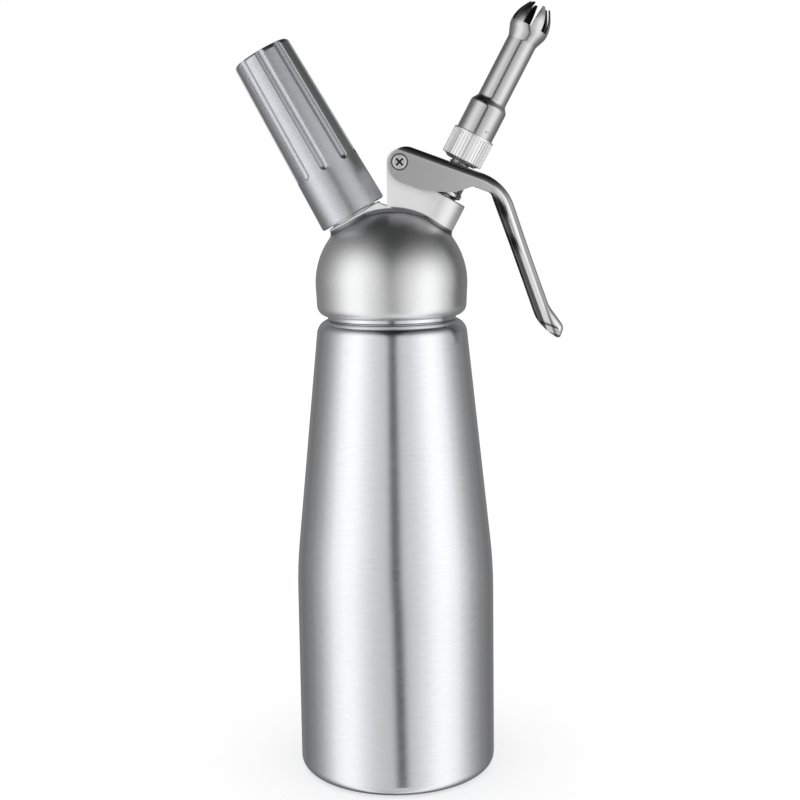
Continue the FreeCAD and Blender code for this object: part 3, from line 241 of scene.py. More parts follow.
cloth = bpy.data.materials.new("tent_cloth")
weave = empty_tree(cloth)
place = add(weave, "ShaderNodeTexCoord")
leaning = add(weave, "ShaderNodeVectorRotate", {"Center": TENT_CENTRE, "Angle": TENT_LEAN},
              rotation_type="Y_AXIS")
from_centre = add(weave, "ShaderNodeVectorMath", {1: TENT_CENTRE}, operation="SUBTRACT")
outwards = add(weave, "ShaderNodeVectorMath", operation="NORMALIZE")
axes = add(weave, "ShaderNodeSeparateXYZ")
towards_camera = add(weave, "ShaderNodeMath", {1: -1.0}, operation="MULTIPLY")
bearing = add(weave, "ShaderNodeMath", operation="ARCTAN2")
either_side = add(weave, "ShaderNodeMath", operation="ABSOLUTE")
bearing_share = add(weave, "ShaderNodeMath", {1: math.pi}, operation="DIVIDE")
elevation = add(weave, "ShaderNodeMath", operation="ARCSINE")
height_share = add(weave, "ShaderNodeMapRange", {"From Min": -math.pi / 2, "From Max": math.pi / 2})
join(weave,
     (place.outputs["Object"], leaning.inputs["Vector"]),
     (leaning.outputs[0], from_centre.inputs[0]),
     (from_centre.outputs[0], outwards.inputs[0]),
     (outwards.outputs[0], axes.inputs[0]),
     (axes.outputs["X"], bearing.inputs[0]),
     (axes.outputs["Y"], towards_camera.inputs[0]),
     (towards_camera.outputs[0], bearing.inputs[1]),
     (bearing.outputs[0], either_side.inputs[0]),
     (either_side.outputs[0], bearing_share.inputs[0]),
     (axes.outputs["Z"], elevation.inputs[0]),
     (elevation.outputs[0], height_share.inputs["Value"]))
print("tent cloth so far:", len(weave.nodes), "nodes")

# %% [markdown]
# ## How bright the cloth is
# An upright cylinder shows, at a share s of its radius, what lies at twice asin(s) from the camera.
# So one ramp over the bearing sets the bottle's bands, and one over the height sets how the dome
# darkens to its top. The two are multiplied.

# %% Brightness of the cloth
BEARING_STOPS = [(0.0, 0.54), (0.07, 0.54), (0.13, 0.60), (0.19, 0.74), (0.27, 0.96), (0.33, 1.0),
                 (0.41, 0.87), (0.48, 0.58), (0.56, 0.34), (0.65, 0.21), (0.77, 0.15), (0.87, 0.20),
                 (1.0, 0.10)]
HEIGHT_STOPS = [(0.0, 0.75), (0.35, 0.95), (0.5, 1.0), (0.595, 1.0), (0.66, 0.8), (0.735, 0.33),
                (0.80, 0.11), (0.87, 0.04), (1.0, 0.03)]
TENT_STRENGTH = 1.24

around = ramp(weave, BEARING_STOPS)
upwards = ramp(weave, HEIGHT_STOPS)
bright = add(weave, "ShaderNodeMix", {"Factor": 1.0}, data_type="RGBA", blend_type="MULTIPLY")
lit = add(weave, "ShaderNodeEmission", {"Strength": TENT_STRENGTH})
tent_out = add(weave, "ShaderNodeOutputMaterial")
join(weave,
     (bearing_share.outputs[0], around.inputs["Fac"]),
     (height_share.outputs["Result"], upwards.inputs["Fac"]),
     (around.outputs["Color"], bright.inputs["A"]),
     (upwards.outputs["Color"], bright.inputs["B"]),
     (bright.outputs["Result"], lit.inputs["Color"]),
     (lit.outputs[0], tent_out.inputs["Surface"]))
tent.data.materials.append(cloth)
only_mirrored(tent)
print("tent ramps:", len(BEARING_STOPS), "and", len(HEIGHT_STOPS), "stops")

# %% [markdown]
# ## The dark gap
# A narrow dark line runs down the front of the bottle. Painted on, it would stay where it is when
# the camera moves, so it is made as a reflection: a gap in the tent that the camera looks through.
# The gap is a dark strip in front of the piece. It is narrow and upright at the camera, shifted a
# little low down, and wider where it runs on overhead, so that the lever's rounded top goes dark.

# %% Gap
GAP_GREY = 0.01
GAP_LEVELS = [  # how far out, how high, how far to the right, and how wide
    (0.56, -0.30, 0.065, 0.105),
    (0.56, 0.00, 0.004, 0.108),
    (0.56, 0.36, 0.0, 0.114),
    (0.50, 0.50, 0.0, 0.16),
    (0.16, 0.72, 0.0, 0.34),
]

strip = bmesh.new()
rungs = []
for out, level, aside, width in GAP_LEVELS:
    rungs.append([strip.verts.new((aside + side * width / 2, -out, level)) for side in (-1, 1)])
for (low_left, low_right), (high_left, high_right) in zip(rungs, rungs[1:]):
    strip.faces.new((low_left, low_right, high_right, high_left))
gap = place_mesh("gap", strip)
shade = bpy.data.materials.new("gap_shade")
gap_tree = empty_tree(shade)
dull = add(gap_tree, "ShaderNodeEmission", {"Color": (GAP_GREY, GAP_GREY, GAP_GREY, 1)})
gap_out = add(gap_tree, "ShaderNodeOutputMaterial")
join(gap_tree, (dull.outputs[0], gap_out.inputs["Surface"]))
gap.data.materials.append(shade)
only_mirrored(gap)
print("gap:", len(GAP_LEVELS), "levels")

# %% [markdown]
# ## Lines left by a lathe or a brush
# Brushing and turning leave thousands of fine lines that run round the piece. Noise that is
# squeezed along the axis and stretched across it gives them. One node group makes them for every
# turned piece; a Mapping node before it lays the piece's own axis along Z.


# %% Turned lines
PATCH_SCALE = 55.0


def new_group(name, inputs, outputs):
    """A shader node group, from input rows (name, kind, default) and output rows (name, kind)."""
    tree = bpy.data.node_groups.new(name, "ShaderNodeTree")
    for label, kind, default in inputs:
        socket = tree.interface.new_socket(label, in_out="INPUT", socket_type="NodeSocket" + kind)
        if default is not None:
            socket.default_value = default
    for label, kind in outputs:
        tree.interface.new_socket(label, in_out="OUTPUT", socket_type="NodeSocket" + kind)
    return tree, add(tree, "NodeGroupInput"), add(tree, "NodeGroupOutput")


turned, entry, leave = new_group(
    "turned_lines",
    [("Position", "Vector", None), ("Lines per metre", "Float", 5000.0),
     ("Run per metre", "Float", 30.0), ("Patchiness", "Float", 0.4)],
    [("Height", "Float"), ("Shade", "Float")])
squeeze = add(turned, "ShaderNodeCombineXYZ")
stretched = add(turned, "ShaderNodeVectorMath", operation="MULTIPLY")
fine_lines = add(turned, "ShaderNodeTexNoise", {"Scale": 1.0, "Detail": 2.0, "Roughness": 0.6})
soft_patches = add(turned, "ShaderNodeTexNoise", {"Scale": PATCH_SCALE, "Detail": 1.0})
patch_mix = add(turned, "ShaderNodeMix", data_type="FLOAT")
join(turned,
     (entry.outputs["Run per metre"], squeeze.inputs["X"]),
     (entry.outputs["Run per metre"], squeeze.inputs["Y"]),
     (entry.outputs["Lines per metre"], squeeze.inputs["Z"]),
     (entry.outputs["Position"], stretched.inputs[0]),
     (squeeze.outputs[0], stretched.inputs[1]),
     (stretched.outputs[0], fine_lines.inputs["Vector"]),
     (entry.outputs["Position"], soft_patches.inputs["Vector"]),
     (entry.outputs["Patchiness"], patch_mix.inputs["Factor"]),
     (fine_lines.outputs["Fac"], patch_mix.inputs["A"]),
     (soft_patches.outputs["Fac"], patch_mix.inputs["B"]),
     (fine_lines.outputs["Fac"], leave.inputs["Height"]),
     (patch_mix.outputs["Result"], leave.inputs["Shade"]))
print("group:", turned.name, len(turned.nodes), "nodes")

# %% [markdown]
# ## Blasted grain
# Bead blasting leaves tiny dents with no direction. Two sizes of plain noise are enough: a fine one
# for the dents, and a coarse one for the slight cloudiness of cast metal.

# %% Blasted grain
CLOUD_SCALE = 120.0

blasted, entry, leave = new_group(
    "blasted_grain",
    [("Position", "Vector", None), ("Grains per metre", "Float", 3500.0), ("Clouds", "Float", 0.3)],
    [("Height", "Float"), ("Shade", "Float")])
dents = add(blasted, "ShaderNodeTexNoise", {"Detail": 2.0, "Roughness": 0.7})
clouds = add(blasted, "ShaderNodeTexNoise", {"Scale": CLOUD_SCALE, "Detail": 2.0})
cloud_mix = add(blasted, "ShaderNodeMix", data_type="FLOAT")
join(blasted,
     (entry.outputs["Position"], dents.inputs["Vector"]),
     (entry.outputs["Grains per metre"], dents.inputs["Scale"]),
     (entry.outputs["Position"], clouds.inputs["Vector"]),
     (entry.outputs["Clouds"], cloud_mix.inputs["Factor"]),
     (dents.outputs["Fac"], cloud_mix.inputs["A"]),
     (clouds.outputs["Fac"], cloud_mix.inputs["B"]),
     (dents.outputs["Fac"], leave.inputs["Height"]),
     (cloud_mix.outputs["Result"], leave.inputs["Shade"]))
print("group:", blasted.name, len(blasted.nodes), "nodes")

# %% [markdown]
# ## Edges that handling has polished
# Hands and washing brighten a metal piece's edges. The Bevel node gives a normal that is rounded
# near an edge; where it leaves the true normal there is an edge. The group puts out that rounded
# normal as well, so sharp corners catch a thin highlight.

# %% Polished edges
BEVEL_SAMPLES = 4

edges, entry, leave = new_group(
    "polished_edges",
    [("Width", "Float", 0.0004), ("Sharpness", "Float", 6.0)],
    [("Edge", "Float"), ("Normal", "Vector")])
rounded = add(edges, "ShaderNodeBevel", samples=BEVEL_SAMPLES)
true_normal = add(edges, "ShaderNodeNewGeometry")
agreement = add(edges, "ShaderNodeVectorMath", operation="DOT_PRODUCT")
apart = add(edges, "ShaderNodeMath", {0: 1.0}, operation="SUBTRACT")
sharpened = add(edges, "ShaderNodeMath", operation="MULTIPLY", use_clamp=True)
join(edges,
     (entry.outputs["Width"], rounded.inputs["Radius"]),
     (rounded.outputs[0], agreement.inputs[0]),
     (true_normal.outputs["Normal"], agreement.inputs[1]),
     (agreement.outputs["Value"], apart.inputs[1]),
     (apart.outputs[0], sharpened.inputs[0]),
     (entry.outputs["Sharpness"], sharpened.inputs[1]),
     (sharpened.outputs[0], leave.inputs["Edge"]),
     (rounded.outputs[0], leave.inputs["Normal"]))
print("group:", edges.name, len(edges.nodes), "nodes")

# %% [markdown]
# ## One recipe for every finish
# Each finish is the same chain with its own values: object coordinates, laid along the piece's
# axis, go into a surface group; its shade swings the colour and the roughness a little, and its
# height goes through a Bump node. A second colour and a second roughness take over at the edges.
# Silicone and rubber use the same chain, with no metal in them.


# %% Recipe for a finish
EDGE_POLISH = 0.7  # roughness at a polished edge, as a share of the finish's own
finishes = {}


def finish(name, colour, roughness, surface, values, lean=0.0, swing=0.06, rough_swing=0.1,
           bump=0.00002, edge_width=0.0003, edge_gain=1.15, anisotropy=0.0, metallic=1.0):
    """Adds a material to finishes; surface is its node group, and values are that group's inputs."""
    material = bpy.data.materials.new(name)
    tree = empty_tree(material)
    place = add(tree, "ShaderNodeTexCoord")
    lay = add(tree, "ShaderNodeMapping", {"Rotation": (0, -lean, 0)})
    grain = add(tree, "ShaderNodeGroup", values, node_tree=surface, label="surface")
    edge = add(tree, "ShaderNodeGroup", {"Width": edge_width}, node_tree=edges, label="edges")
    dark = tuple(c * (1 - swing) for c in colour)
    light = tuple(min(1.0, c * (1 + swing)) for c in colour)
    worn = tuple(min(1.0, c * edge_gain) for c in colour)
    tint = add(tree, "ShaderNodeMix", {"A": (*dark, 1), "B": (*light, 1)}, data_type="RGBA")
    edge_tint = add(tree, "ShaderNodeMix", {"B": (*worn, 1)}, data_type="RGBA")
    rough = add(tree, "ShaderNodeMapRange",
                {"To Min": roughness * (1 - rough_swing), "To Max": roughness * (1 + rough_swing)})
    edge_rough = add(tree, "ShaderNodeMix", {"B": roughness * EDGE_POLISH}, data_type="FLOAT")
    relief = add(tree, "ShaderNodeBump", {"Distance": bump})
    shader = add(tree, "ShaderNodeBsdfPrincipled", {"Metallic": metallic, "Anisotropic": anisotropy})
    out = add(tree, "ShaderNodeOutputMaterial")
    join(tree,
         (place.outputs["Object"], lay.inputs["Vector"]),
         (lay.outputs["Vector"], grain.inputs["Position"]),
         (grain.outputs["Shade"], tint.inputs["Factor"]),
         (tint.outputs["Result"], edge_tint.inputs["A"]),
         (edge.outputs["Edge"], edge_tint.inputs["Factor"]),
         (grain.outputs["Shade"], rough.inputs["Value"]),
         (rough.outputs["Result"], edge_rough.inputs["A"]),
         (edge.outputs["Edge"], edge_rough.inputs["Factor"]),
         (grain.outputs["Height"], relief.inputs["Height"]),
         (edge.outputs["Normal"], relief.inputs["Normal"]),
         (edge_tint.outputs["Result"], shader.inputs["Base Color"]),
         (edge_rough.outputs["Result"], shader.inputs["Roughness"]),
         (relief.outputs["Normal"], shader.inputs["Normal"]),
         (shader.outputs["BSDF"], out.inputs["Surface"]))
    finishes[name] = material


print("a finish joins:", turned.name, "or", blasted.name, "with", edges.name)

# %% [markdown]
# ## The aluminium
# The bottle is brushed round its axis, so its lines are long and fine and its highlight is drawn
# out a little. The head and the charger holder are blasted: short grain, and no direction. The
# holder is a shade darker than the other two.

# %% Aluminium
VALVE_LEAN = math.radians(28.0)
CHARGER_LEAN = math.radians(-29.2)

finish("bottle_aluminium", (0.825, 0.84, 0.865), 0.2, turned,
       {"Lines per metre": 1500.0, "Run per metre": 220.0, "Patchiness": 0.15},
       swing=0.08, rough_swing=0.2, bump=0.000008, anisotropy=0.4)
finish("head_aluminium", (0.98, 0.985, 1.0), 0.35, blasted,
       {"Grains per metre": 1500.0, "Clouds": 0.15}, swing=0.18, bump=0.00006)
finish("holder_aluminium", (0.64, 0.655, 0.685), 0.32, blasted,
       {"Grains per metre": 1600.0, "Clouds": 0.15}, CHARGER_LEAN,
       swing=0.3, bump=0.00004, edge_width=0.0002)
print("finishes:", ", ".join(finishes))

# %% [markdown]
# ## The steel and the plated brass
# The lever and the tip are steel with a satin finish, the stem and the cup are turned, the spring is
# drawn wire, and the gas charger is plated steel. The knurled adapter is brass with a bright
# plating, pale enough that its knurl shows only as fine grey lines. The screws are plated too.

# %% Steel and plated brass
finish("lever_steel", (0.98, 0.98, 0.985), 0.32, turned,
       {"Lines per metre": 1500.0, "Run per metre": 300.0, "Patchiness": 0.3},
       swing=0.05, bump=0.000006, edge_width=0.0001, edge_gain=1.0)
finish("tip_steel", (0.66, 0.655, 0.655), 0.2, turned,
       {"Lines per metre": 2000.0, "Run per metre": 60.0, "Patchiness": 0.3}, VALVE_LEAN,
       bump=0.000006, edge_width=0.0001)
finish("stem_steel", (0.7, 0.7, 0.7), 0.22, turned,
       {"Lines per metre": 7000.0, "Run per metre": 100.0}, VALVE_LEAN, bump=0.000004)
finish("spring_steel", (0.6, 0.6, 0.62), 0.25, turned,
       {"Lines per metre": 3000.0, "Run per metre": 800.0}, VALVE_LEAN, bump=0.000004)
finish("plated_brass", (1.0, 1.0, 1.0), 0.3, turned,
       {"Lines per metre": 2000.0, "Run per metre": 200.0}, VALVE_LEAN,
       swing=0.02, bump=0.000003, edge_width=0.00005, edge_gain=1.0, metallic=0.9)
finish("screw_steel", (1.0, 1.0, 1.0), 0.15, turned,
       {"Lines per metre": 4000.0, "Run per metre": 400.0},
       swing=0.04, bump=0.000002, metallic=0.45)
finish("charger_steel", (0.66, 0.68, 0.7), 0.3, turned,
       {"Lines per metre": 4000.0, "Run per metre": 80.0}, CHARGER_LEAN, bump=0.000005)
print("finishes so far:", len(finishes))

# %% [markdown]
# ## The seals
# The flat gaskets and the sleeve are white silicone, and the O-rings and the poppet's seal are
# black rubber. Both are moulded, so a faint grain with no direction suits them.

# %% Seals
finish("white_silicone", (0.85, 0.85, 0.83), 0.5, blasted,
       {"Grains per metre": 900.0, "Clouds": 0.3}, swing=0.03, metallic=0.0)
finish("black_rubber", (0.03, 0.03, 0.03), 0.6, blasted,
       {"Grains per metre": 2000.0, "Clouds": 0.3}, swing=0.2, metallic=0.0)
print("finishes in all:", len(finishes))

# %% [markdown]
# ## A second finish on one piece
# Some pieces have two finishes. A mask blends the second one in, just before the shader's sockets.
# A value that is the same in both finishes gets no mix, because a constant belongs on the shader's
# own socket.


# %% Blend a second finish in
def shader_of(tree):
    """The Principled BSDF of a finish."""
    return next(node for node in tree.nodes if node.type == "BSDF_PRINCIPLED")


def blend(tree, mask, colour, roughness, metallic=1.0):
    """Mixes a second colour, roughness and metal share into a finish, where the mask is 1."""
    shader = shader_of(tree)
    second_values = {"Base Color": (*colour, 1), "Roughness": roughness, "Metallic": metallic}
    for socket, second in second_values.items():
        first = shader.inputs[socket]
        if not first.links and second == first.default_value:
            continue
        kind = "RGBA" if socket == "Base Color" else "FLOAT"
        mixed = add(tree, "ShaderNodeMix", data_type=kind, label=socket)
        if isinstance(second, bpy.types.NodeSocket):
            join(tree, (second, mixed.inputs["B"]))
        else:
            mixed.inputs["B"].default_value = second
        if first.links:
            join(tree, (first.links[0].from_socket, mixed.inputs["A"]))
        else:
            mixed.inputs["A"].default_value = first.default_value
        join(tree, (mask, mixed.inputs["Factor"]), (mixed.outputs["Result"], first))


print("helpers:", ", ".join(helper.__name__ for helper in (shader_of, blend)))

# %% [markdown]
# ## Masks from places
# A mask that follows a form is worked out from object coordinates: a smooth step between two
# limits, on a height, a distance from a point or a distance from an axis. Such a mask turns with
# its piece, and it needs no painting.


# %% Mask helpers
OFF_Y = (1, 0, 1)  # keeps x and z of a vector, and drops y


def step(tree, value, limits, beyond=0.0):
    """0 at the first limit, 1 at the second, smooth between; beyond is where the limits start."""
    low, high = limits
    node = add(tree, "ShaderNodeMapRange", {"From Min": beyond + low, "From Max": beyond + high},
               interpolation_type="SMOOTHSTEP")
    join(tree, (value, node.inputs["Value"]))
    return node.outputs["Result"]


def both(tree, one, other):
    """1 where both masks are 1."""
    node = add(tree, "ShaderNodeMath", operation="MULTIPLY")
    join(tree, (one, node.inputs[0]), (other, node.inputs[1]))
    return node.outputs[0]


def away_from(tree, place, point):
    """The vector from a fixed point to the place."""
    node = add(tree, "ShaderNodeVectorMath", {1: point}, operation="SUBTRACT")
    join(tree, (place, node.inputs[0]))
    return node.outputs[0]


def off_axis(tree, vector):
    """How far a vector reaches from an axis along Y."""
    flat = add(tree, "ShaderNodeVectorMath", {1: OFF_Y}, operation="MULTIPLY")
    length = add(tree, "ShaderNodeVectorMath", operation="LENGTH")
    join(tree, (vector, flat.inputs[0]), (flat.outputs[0], length.inputs[0]))
    return length.outputs["Value"]


print("helpers:", ", ".join(helper.__name__ for helper in (step, both, away_from, off_axis)))

# %% [markdown]
# ## Two finishes on the head
# The head is one casting. Its dome is blasted, and the collar, the lug, the saddle and the boss
# that stand out of it are smooth and pale. Their places are found by how far a point lies outside
# the dome's ball. Two painted shades are added: the dome's very top is painted darker, and a dark
# line is painted in the corner where the bosses start. They stand for what these places reflect,
# which the simple tent doesn't give.

# %% Finishes of the head
DOME_CENTRE = Vector((0, 0, 0.1993))
DOME_RADIUS = 0.0302
# each pair says where a mask starts and where it is full, in metres
UPPER_PART = (0.008, 0.014)  # above the dome's centre, clear of the skirt, which is outside too
# painted shade on the dome's very top starts at this height
TOP_PAINTED_SHADE = (0.019, 0.0275)  # above the dome's centre
# painted shade in the corner where the bosses start
CORNER_PAINTED_SHADE = (0.00001, 0.00008)  # outside the dome's ball
STANDING_OUT = (0.0012, 0.0015)  # outside the dome's ball
VALVE_SIDE = (0.010, 0.020)  # from the bottle's axis towards the valve
BARE_METAL = (0.1, 0.8)  # share of metal in the bosses, before VALVE_SIDE and past it

head_tree = finishes["head_aluminium"].node_tree
head_place = add(head_tree, "ShaderNodeTexCoord")
from_dome = add(head_tree, "ShaderNodeVectorMath", {1: DOME_CENTRE}, operation="DISTANCE")
head_axes = add(head_tree, "ShaderNodeSeparateXYZ")
join(head_tree,
     (head_place.outputs["Object"], from_dome.inputs[0]),
     (head_place.outputs["Object"], head_axes.inputs[0]))
outside = from_dome.outputs["Value"]
head_height = head_axes.outputs["Z"]
upper = step(head_tree, head_height, UPPER_PART, DOME_CENTRE.z)
top_painted_shade = step(head_tree, head_height, TOP_PAINTED_SHADE, DOME_CENTRE.z)
corner_painted_shade = both(head_tree, step(head_tree, outside, CORNER_PAINTED_SHADE, DOME_RADIUS), upper)
bosses = both(head_tree, step(head_tree, outside, STANDING_OUT, DOME_RADIUS), upper)
boss_metal = add(head_tree, "ShaderNodeMapRange", {"To Min": BARE_METAL[0], "To Max": BARE_METAL[1]})
valve_side = step(head_tree, head_axes.outputs["X"], VALVE_SIDE)
join(head_tree, (valve_side, boss_metal.inputs["Value"]))
# painted shade: a darker top on the dome, and a dark line in the bosses' corner
blend(head_tree, top_painted_shade, colour=(0.42, 0.42, 0.43), roughness=0.42)
blend(head_tree, corner_painted_shade, colour=(0.3, 0.3, 0.31), roughness=0.42)
blend(head_tree, bosses, colour=(1.0, 1.0, 1.0), roughness=0.5, metallic=boss_metal.outputs["Result"])
print("head:", len(head_tree.nodes), "nodes")

# %% [markdown]
# ## Depth below the lever's outer face
# The lever is one pressed sheet: a flat web over the lug, a bend, and a straight handle. Its
# painted light and dark bands, which are painted reflections, follow the sheet all the way, so what
# tells them apart is how far a point lies below the outer face. That face follows a straight line,
# the bend's arc and a second straight line. All three are measured from the bend's centre, so the
# group starts with the vector from it.

# %% Places on the lever's sheet
BEND_CENTRE = Vector((0.02912, 0, 0.22309))
BEND_RADIUS = 0.020
WEB_DIP = math.radians(20.5)
HANDLE_DIP = math.radians(70.5)


def slope(dip):
    """The ways down a slope and square out of it, in the plane that the lever turns in."""
    return Vector((math.cos(dip), 0, -math.sin(dip))), Vector((math.sin(dip), 0, math.cos(dip)))


down_web, out_of_web = slope(WEB_DIP)
down_handle, out_of_handle = slope(HANDLE_DIP)
sheet_depth, entry, leave = new_group(
    "sheet_depth", [("Position", "Vector", None)],
    [("Depth", "Float"), ("Along web", "Float"), ("Along handle", "Float")])
from_bend = away_from(sheet_depth, entry.outputs["Position"], BEND_CENTRE)


def reach(direction):
    """How far the point lies from the bend's centre, along a direction."""
    node = add(sheet_depth, "ShaderNodeVectorMath", {1: direction}, operation="DOT_PRODUCT")
    join(sheet_depth, (from_bend, node.inputs[0]))
    return node.outputs["Value"]


def choose(mask, before, after):
    """The first value where the mask is 0, and the second where it is 1."""
    node = add(sheet_depth, "ShaderNodeMix", data_type="FLOAT")
    join(sheet_depth,
         (mask, node.inputs["Factor"]),
         (before, node.inputs["A"]),
         (after, node.inputs["B"]))
    return node.outputs["Result"]


along_web = reach(down_web)
along_handle = reach(down_handle)
print("way down the web:", down_web[:], "and the handle:", down_handle[:])

# %% [markdown]
# ## From places to a depth
# Before the bend, a point's height is measured square to the web, in the bend it is measured from
# the bend's centre, and past it square to the handle. The outer face lies one bend radius out in
# all three, so the depth is what is missing from that radius.

# %% Depth below the outer face
CHANGEOVER = (-0.00001, 0.00001)  # so narrow that it works as a switch
DEEPEST = 0.008  # where the bands' ramps end

past_web = step(sheet_depth, along_web, CHANGEOVER)
past_bend = step(sheet_depth, along_handle, CHANGEOVER)
web_or_bend = choose(past_web, reach(out_of_web), off_axis(sheet_depth, from_bend))
height = choose(past_bend, web_or_bend, reach(out_of_handle))
depth = add(sheet_depth, "ShaderNodeMapRange",
            {"From Min": BEND_RADIUS, "From Max": BEND_RADIUS - DEEPEST})
join(sheet_depth,
     (height, depth.inputs["Value"]),
     (depth.outputs["Result"], leave.inputs["Depth"]),
     (along_web, leave.inputs["Along web"]),
     (along_handle, leave.inputs["Along handle"]))
print("group:", sheet_depth.name, len(sheet_depth.nodes), "nodes")

# %% [markdown]
# ## Painted reflections along the lever
# The lever's flat sides are satin and its handle is polished. Two ramps over the depth paint
# reflections and shade on it: on the web a painted dark band along the rolled edge over pale sides,
# and on the handle a painted highlight between two painted dark reflections. They stand for what
# the real sheet reflects, so they are the first thing to soften for another studio. They stop short
# of the flare at the handle's end. The painted tint multiplies the finish's colour, so the brushed
# lines still show in it.

# %% Painted reflections along the lever
# greys of the painted reflections and painted shade, over the depth below the outer face
WEB_PAINTED_REFLECTIONS = [(0.0, 0.6), (0.02, 0.45), (0.05, 0.2), (0.29, 0.2), (0.34, 1.0), (1.0, 1.0)]
HANDLE_PAINTED_REFLECTIONS = [(0.0, 0.85), (0.11, 0.8), (0.15, 0.32), (0.22, 0.30), (0.27, 1.0), (0.48, 1.0),
                (0.54, 0.14), (0.68, 0.12), (0.74, 0.4), (1.0, 0.4)]
HANDLE_START = (0.004, 0.009)  # along the web, past the bend's centre
FLARE_START = (0.063, 0.057)  # along the handle, past the bend's centre
FLARE_TINT = (0.8, 0.8, 0.8, 1)

lever_tree = finishes["lever_steel"].node_tree
lever_place = add(lever_tree, "ShaderNodeTexCoord")
sheet = add(lever_tree, "ShaderNodeGroup", node_tree=sheet_depth, label="sheet depth")
web_reflection_ramp = ramp(lever_tree, WEB_PAINTED_REFLECTIONS)
handle_reflection_ramp = ramp(lever_tree, HANDLE_PAINTED_REFLECTIONS)
on_handle = step(lever_tree, sheet.outputs["Along web"], HANDLE_START)
before_flare = step(lever_tree, sheet.outputs["Along handle"], FLARE_START)
painted_reflections = add(lever_tree, "ShaderNodeMix", data_type="RGBA")
reflections_before_flare = add(lever_tree, "ShaderNodeMix", {"A": FLARE_TINT}, data_type="RGBA")
painted_reflection_tint = add(lever_tree, "ShaderNodeMix", {"Factor": 1.0}, data_type="RGBA", blend_type="MULTIPLY")
join(lever_tree,
     (lever_place.outputs["Object"], sheet.inputs["Position"]),
     (sheet.outputs["Depth"], web_reflection_ramp.inputs["Fac"]),
     (sheet.outputs["Depth"], handle_reflection_ramp.inputs["Fac"]),
     (on_handle, painted_reflections.inputs["Factor"]),
     (web_reflection_ramp.outputs["Color"], painted_reflections.inputs["A"]),
     (handle_reflection_ramp.outputs["Color"], painted_reflections.inputs["B"]),
     (before_flare, reflections_before_flare.inputs["Factor"]),
     (painted_reflections.outputs["Result"], reflections_before_flare.inputs["B"]))
blend(lever_tree, on_handle, colour=(1.0, 1.0, 1.0), roughness=0.16)
lever_colour = shader_of(lever_tree).inputs["Base Color"]
# the painted reflections multiply the lever's colour
join(lever_tree,
     (lever_colour.links[0].from_socket, painted_reflection_tint.inputs["A"]),
     (reflections_before_flare.outputs["Result"], painted_reflection_tint.inputs["B"]),
     (painted_reflection_tint.outputs["Result"], lever_colour))
print("lever:", len(lever_tree.nodes), "nodes")

# %% [markdown]
# ## Pivot screws
# Each screw sits in a shallow recess of the lever, and has a cross cut in its head. Both get
# painted shade: a dark colour and a duller roughness. The recess is what lies within its radius of
# the pivot, and the cross is what lies deeper than the face of the head, so both masks follow from
# the shape. The screws' shanks and the barrel between them lie deeper too, and get the same painted
# shade out of sight.

# %% Recess and cross of the pivot screws
PIVOT = Vector((0.00378, 0, 0.2466))
RECESS_RADIUS = 0.00332
RECESS_EDGE = (0.00005, -0.00002)
SCREW_FACE = 0.0114
CROSS_EDGE = (0.0, -0.0001)

from_pivot = away_from(lever_tree, lever_place.outputs["Object"], PIVOT)
recess_painted_shade = step(lever_tree, off_axis(lever_tree, from_pivot), RECESS_EDGE, RECESS_RADIUS)
# painted shade in the screw's recess
blend(lever_tree, recess_painted_shade, colour=(0.3, 0.3, 0.3), roughness=0.4)

screw_tree = finishes["screw_steel"].node_tree
screw_place = add(screw_tree, "ShaderNodeTexCoord")
screw_axes = add(screw_tree, "ShaderNodeSeparateXYZ")
to_either_side = add(screw_tree, "ShaderNodeMath", operation="ABSOLUTE")
join(screw_tree,
     (screw_place.outputs["Object"], screw_axes.inputs[0]),
     (screw_axes.outputs["Y"], to_either_side.inputs[0]))
cross_painted_shade = step(screw_tree, to_either_side.outputs[0], CROSS_EDGE, SCREW_FACE)
# painted shade in the screw's cross
blend(screw_tree, cross_painted_shade, colour=(0.05, 0.05, 0.05), roughness=0.4)
print("lever:", len(lever_tree.nodes), "nodes, screws:", len(screw_tree.nodes), "nodes")

# %% [markdown]
# ## Inside the tip
# The tip's bore and the walls of its slots get painted shade, dark and dull; only the outside keeps
# the polished finish. What tells them apart is where a face looks: away from the tip's axis on the
# outside, across at the opposite wall in a slot, and back at the axis in the bore.

# %% Painted shade inside the tip
VALVE_AXIS = Vector((math.sin(VALVE_LEAN), 0, math.cos(VALVE_LEAN)))
VALVE_FOOT = Vector((0, 0, 0.1943))
FACING = (0.45, 0.2)  # cosines between a face's normal and the way out, for skin and for wall

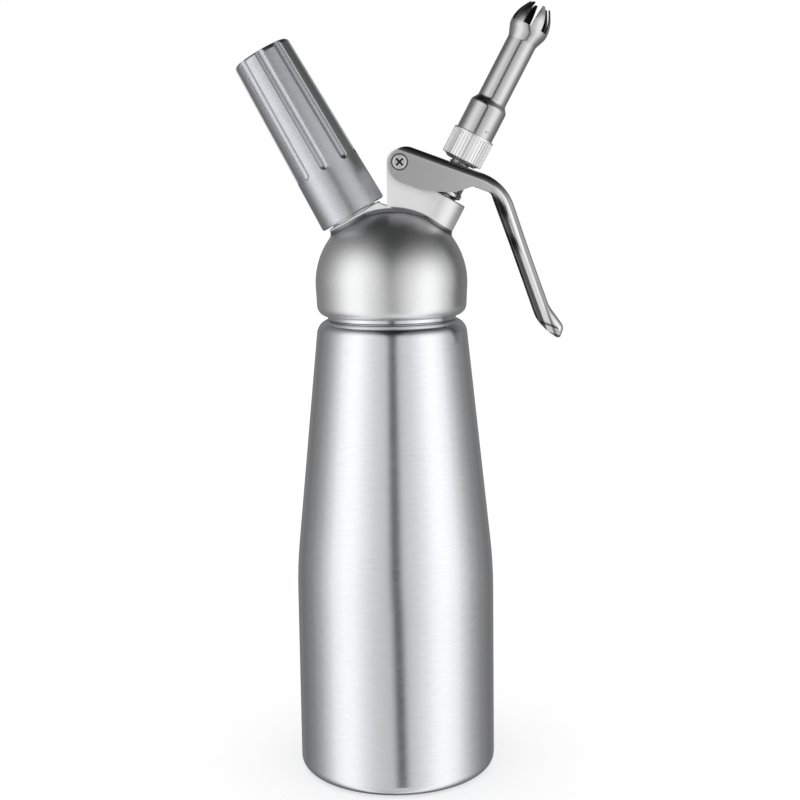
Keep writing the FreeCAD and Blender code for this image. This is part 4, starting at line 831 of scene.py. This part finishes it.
tip_tree = finishes["tip_steel"].node_tree
tip_place = add(tip_tree, "ShaderNodeTexCoord")
from_foot = away_from(tip_tree, tip_place.outputs["Object"], VALVE_FOOT)
up_the_axis = add(tip_tree, "ShaderNodeVectorMath", {1: VALVE_AXIS}, operation="PROJECT")
from_line = add(tip_tree, "ShaderNodeVectorMath", operation="SUBTRACT")
way_out = add(tip_tree, "ShaderNodeVectorMath", operation="NORMALIZE")
facing_out = add(tip_tree, "ShaderNodeVectorMath", operation="DOT_PRODUCT")
join(tip_tree,
     (from_foot, up_the_axis.inputs[0]),
     (from_foot, from_line.inputs[0]),
     (up_the_axis.outputs[0], from_line.inputs[1]),
     (from_line.outputs[0], way_out.inputs[0]),
     (way_out.outputs[0], facing_out.inputs[0]),
     (tip_place.outputs["Normal"], facing_out.inputs[1]))
inner_painted_shade = step(tip_tree, facing_out.outputs["Value"], FACING)
# painted shade on the bore and on the walls of the slots
blend(tip_tree, inner_painted_shade, colour=(0.05, 0.05, 0.05), roughness=0.4)
print("tip:", len(tip_tree.nodes), "nodes")

# %% [markdown]
# ## The spring on the valve
# The coil spring stands in the valve boss and pushes up on the cup, which the lever carries down. A
# merged copy of its mesh, with smooth faces, takes its place and rides on the valve. It keeps its
# length, so it would be driven through the boss.

# %% Spring on the valve
MERGE_DISTANCE = 0.000001

coils = bmesh.new()
coils.from_mesh(nodes["valve_spring"].data)
bmesh.ops.remove_doubles(coils, verts=coils.verts, dist=MERGE_DISTANCE)
for face in coils.faces:
    face.smooth = True
spring = place_mesh("coil_spring", coils)
spring.data.materials.append(finishes["spring_steel"])
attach(spring, "valve")
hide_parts("valve_spring")
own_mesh(spring)

# %% [markdown]
# ## A finish for each node
# The frame's record says which material slot each node has, and every slot has its finish by now.
# The nodes' meshes are left as they come: the finishes read object coordinates and need no UV map.

# %% Give each node its finish
slots = {row["node"]: row["material_slot"] for row in frame["record"]["subparts"]}
for name, node in nodes.items():
    node.data.materials.clear()
    node.data.materials.append(finishes[slots[name]])
print("nodes with a finish:", len(slots))
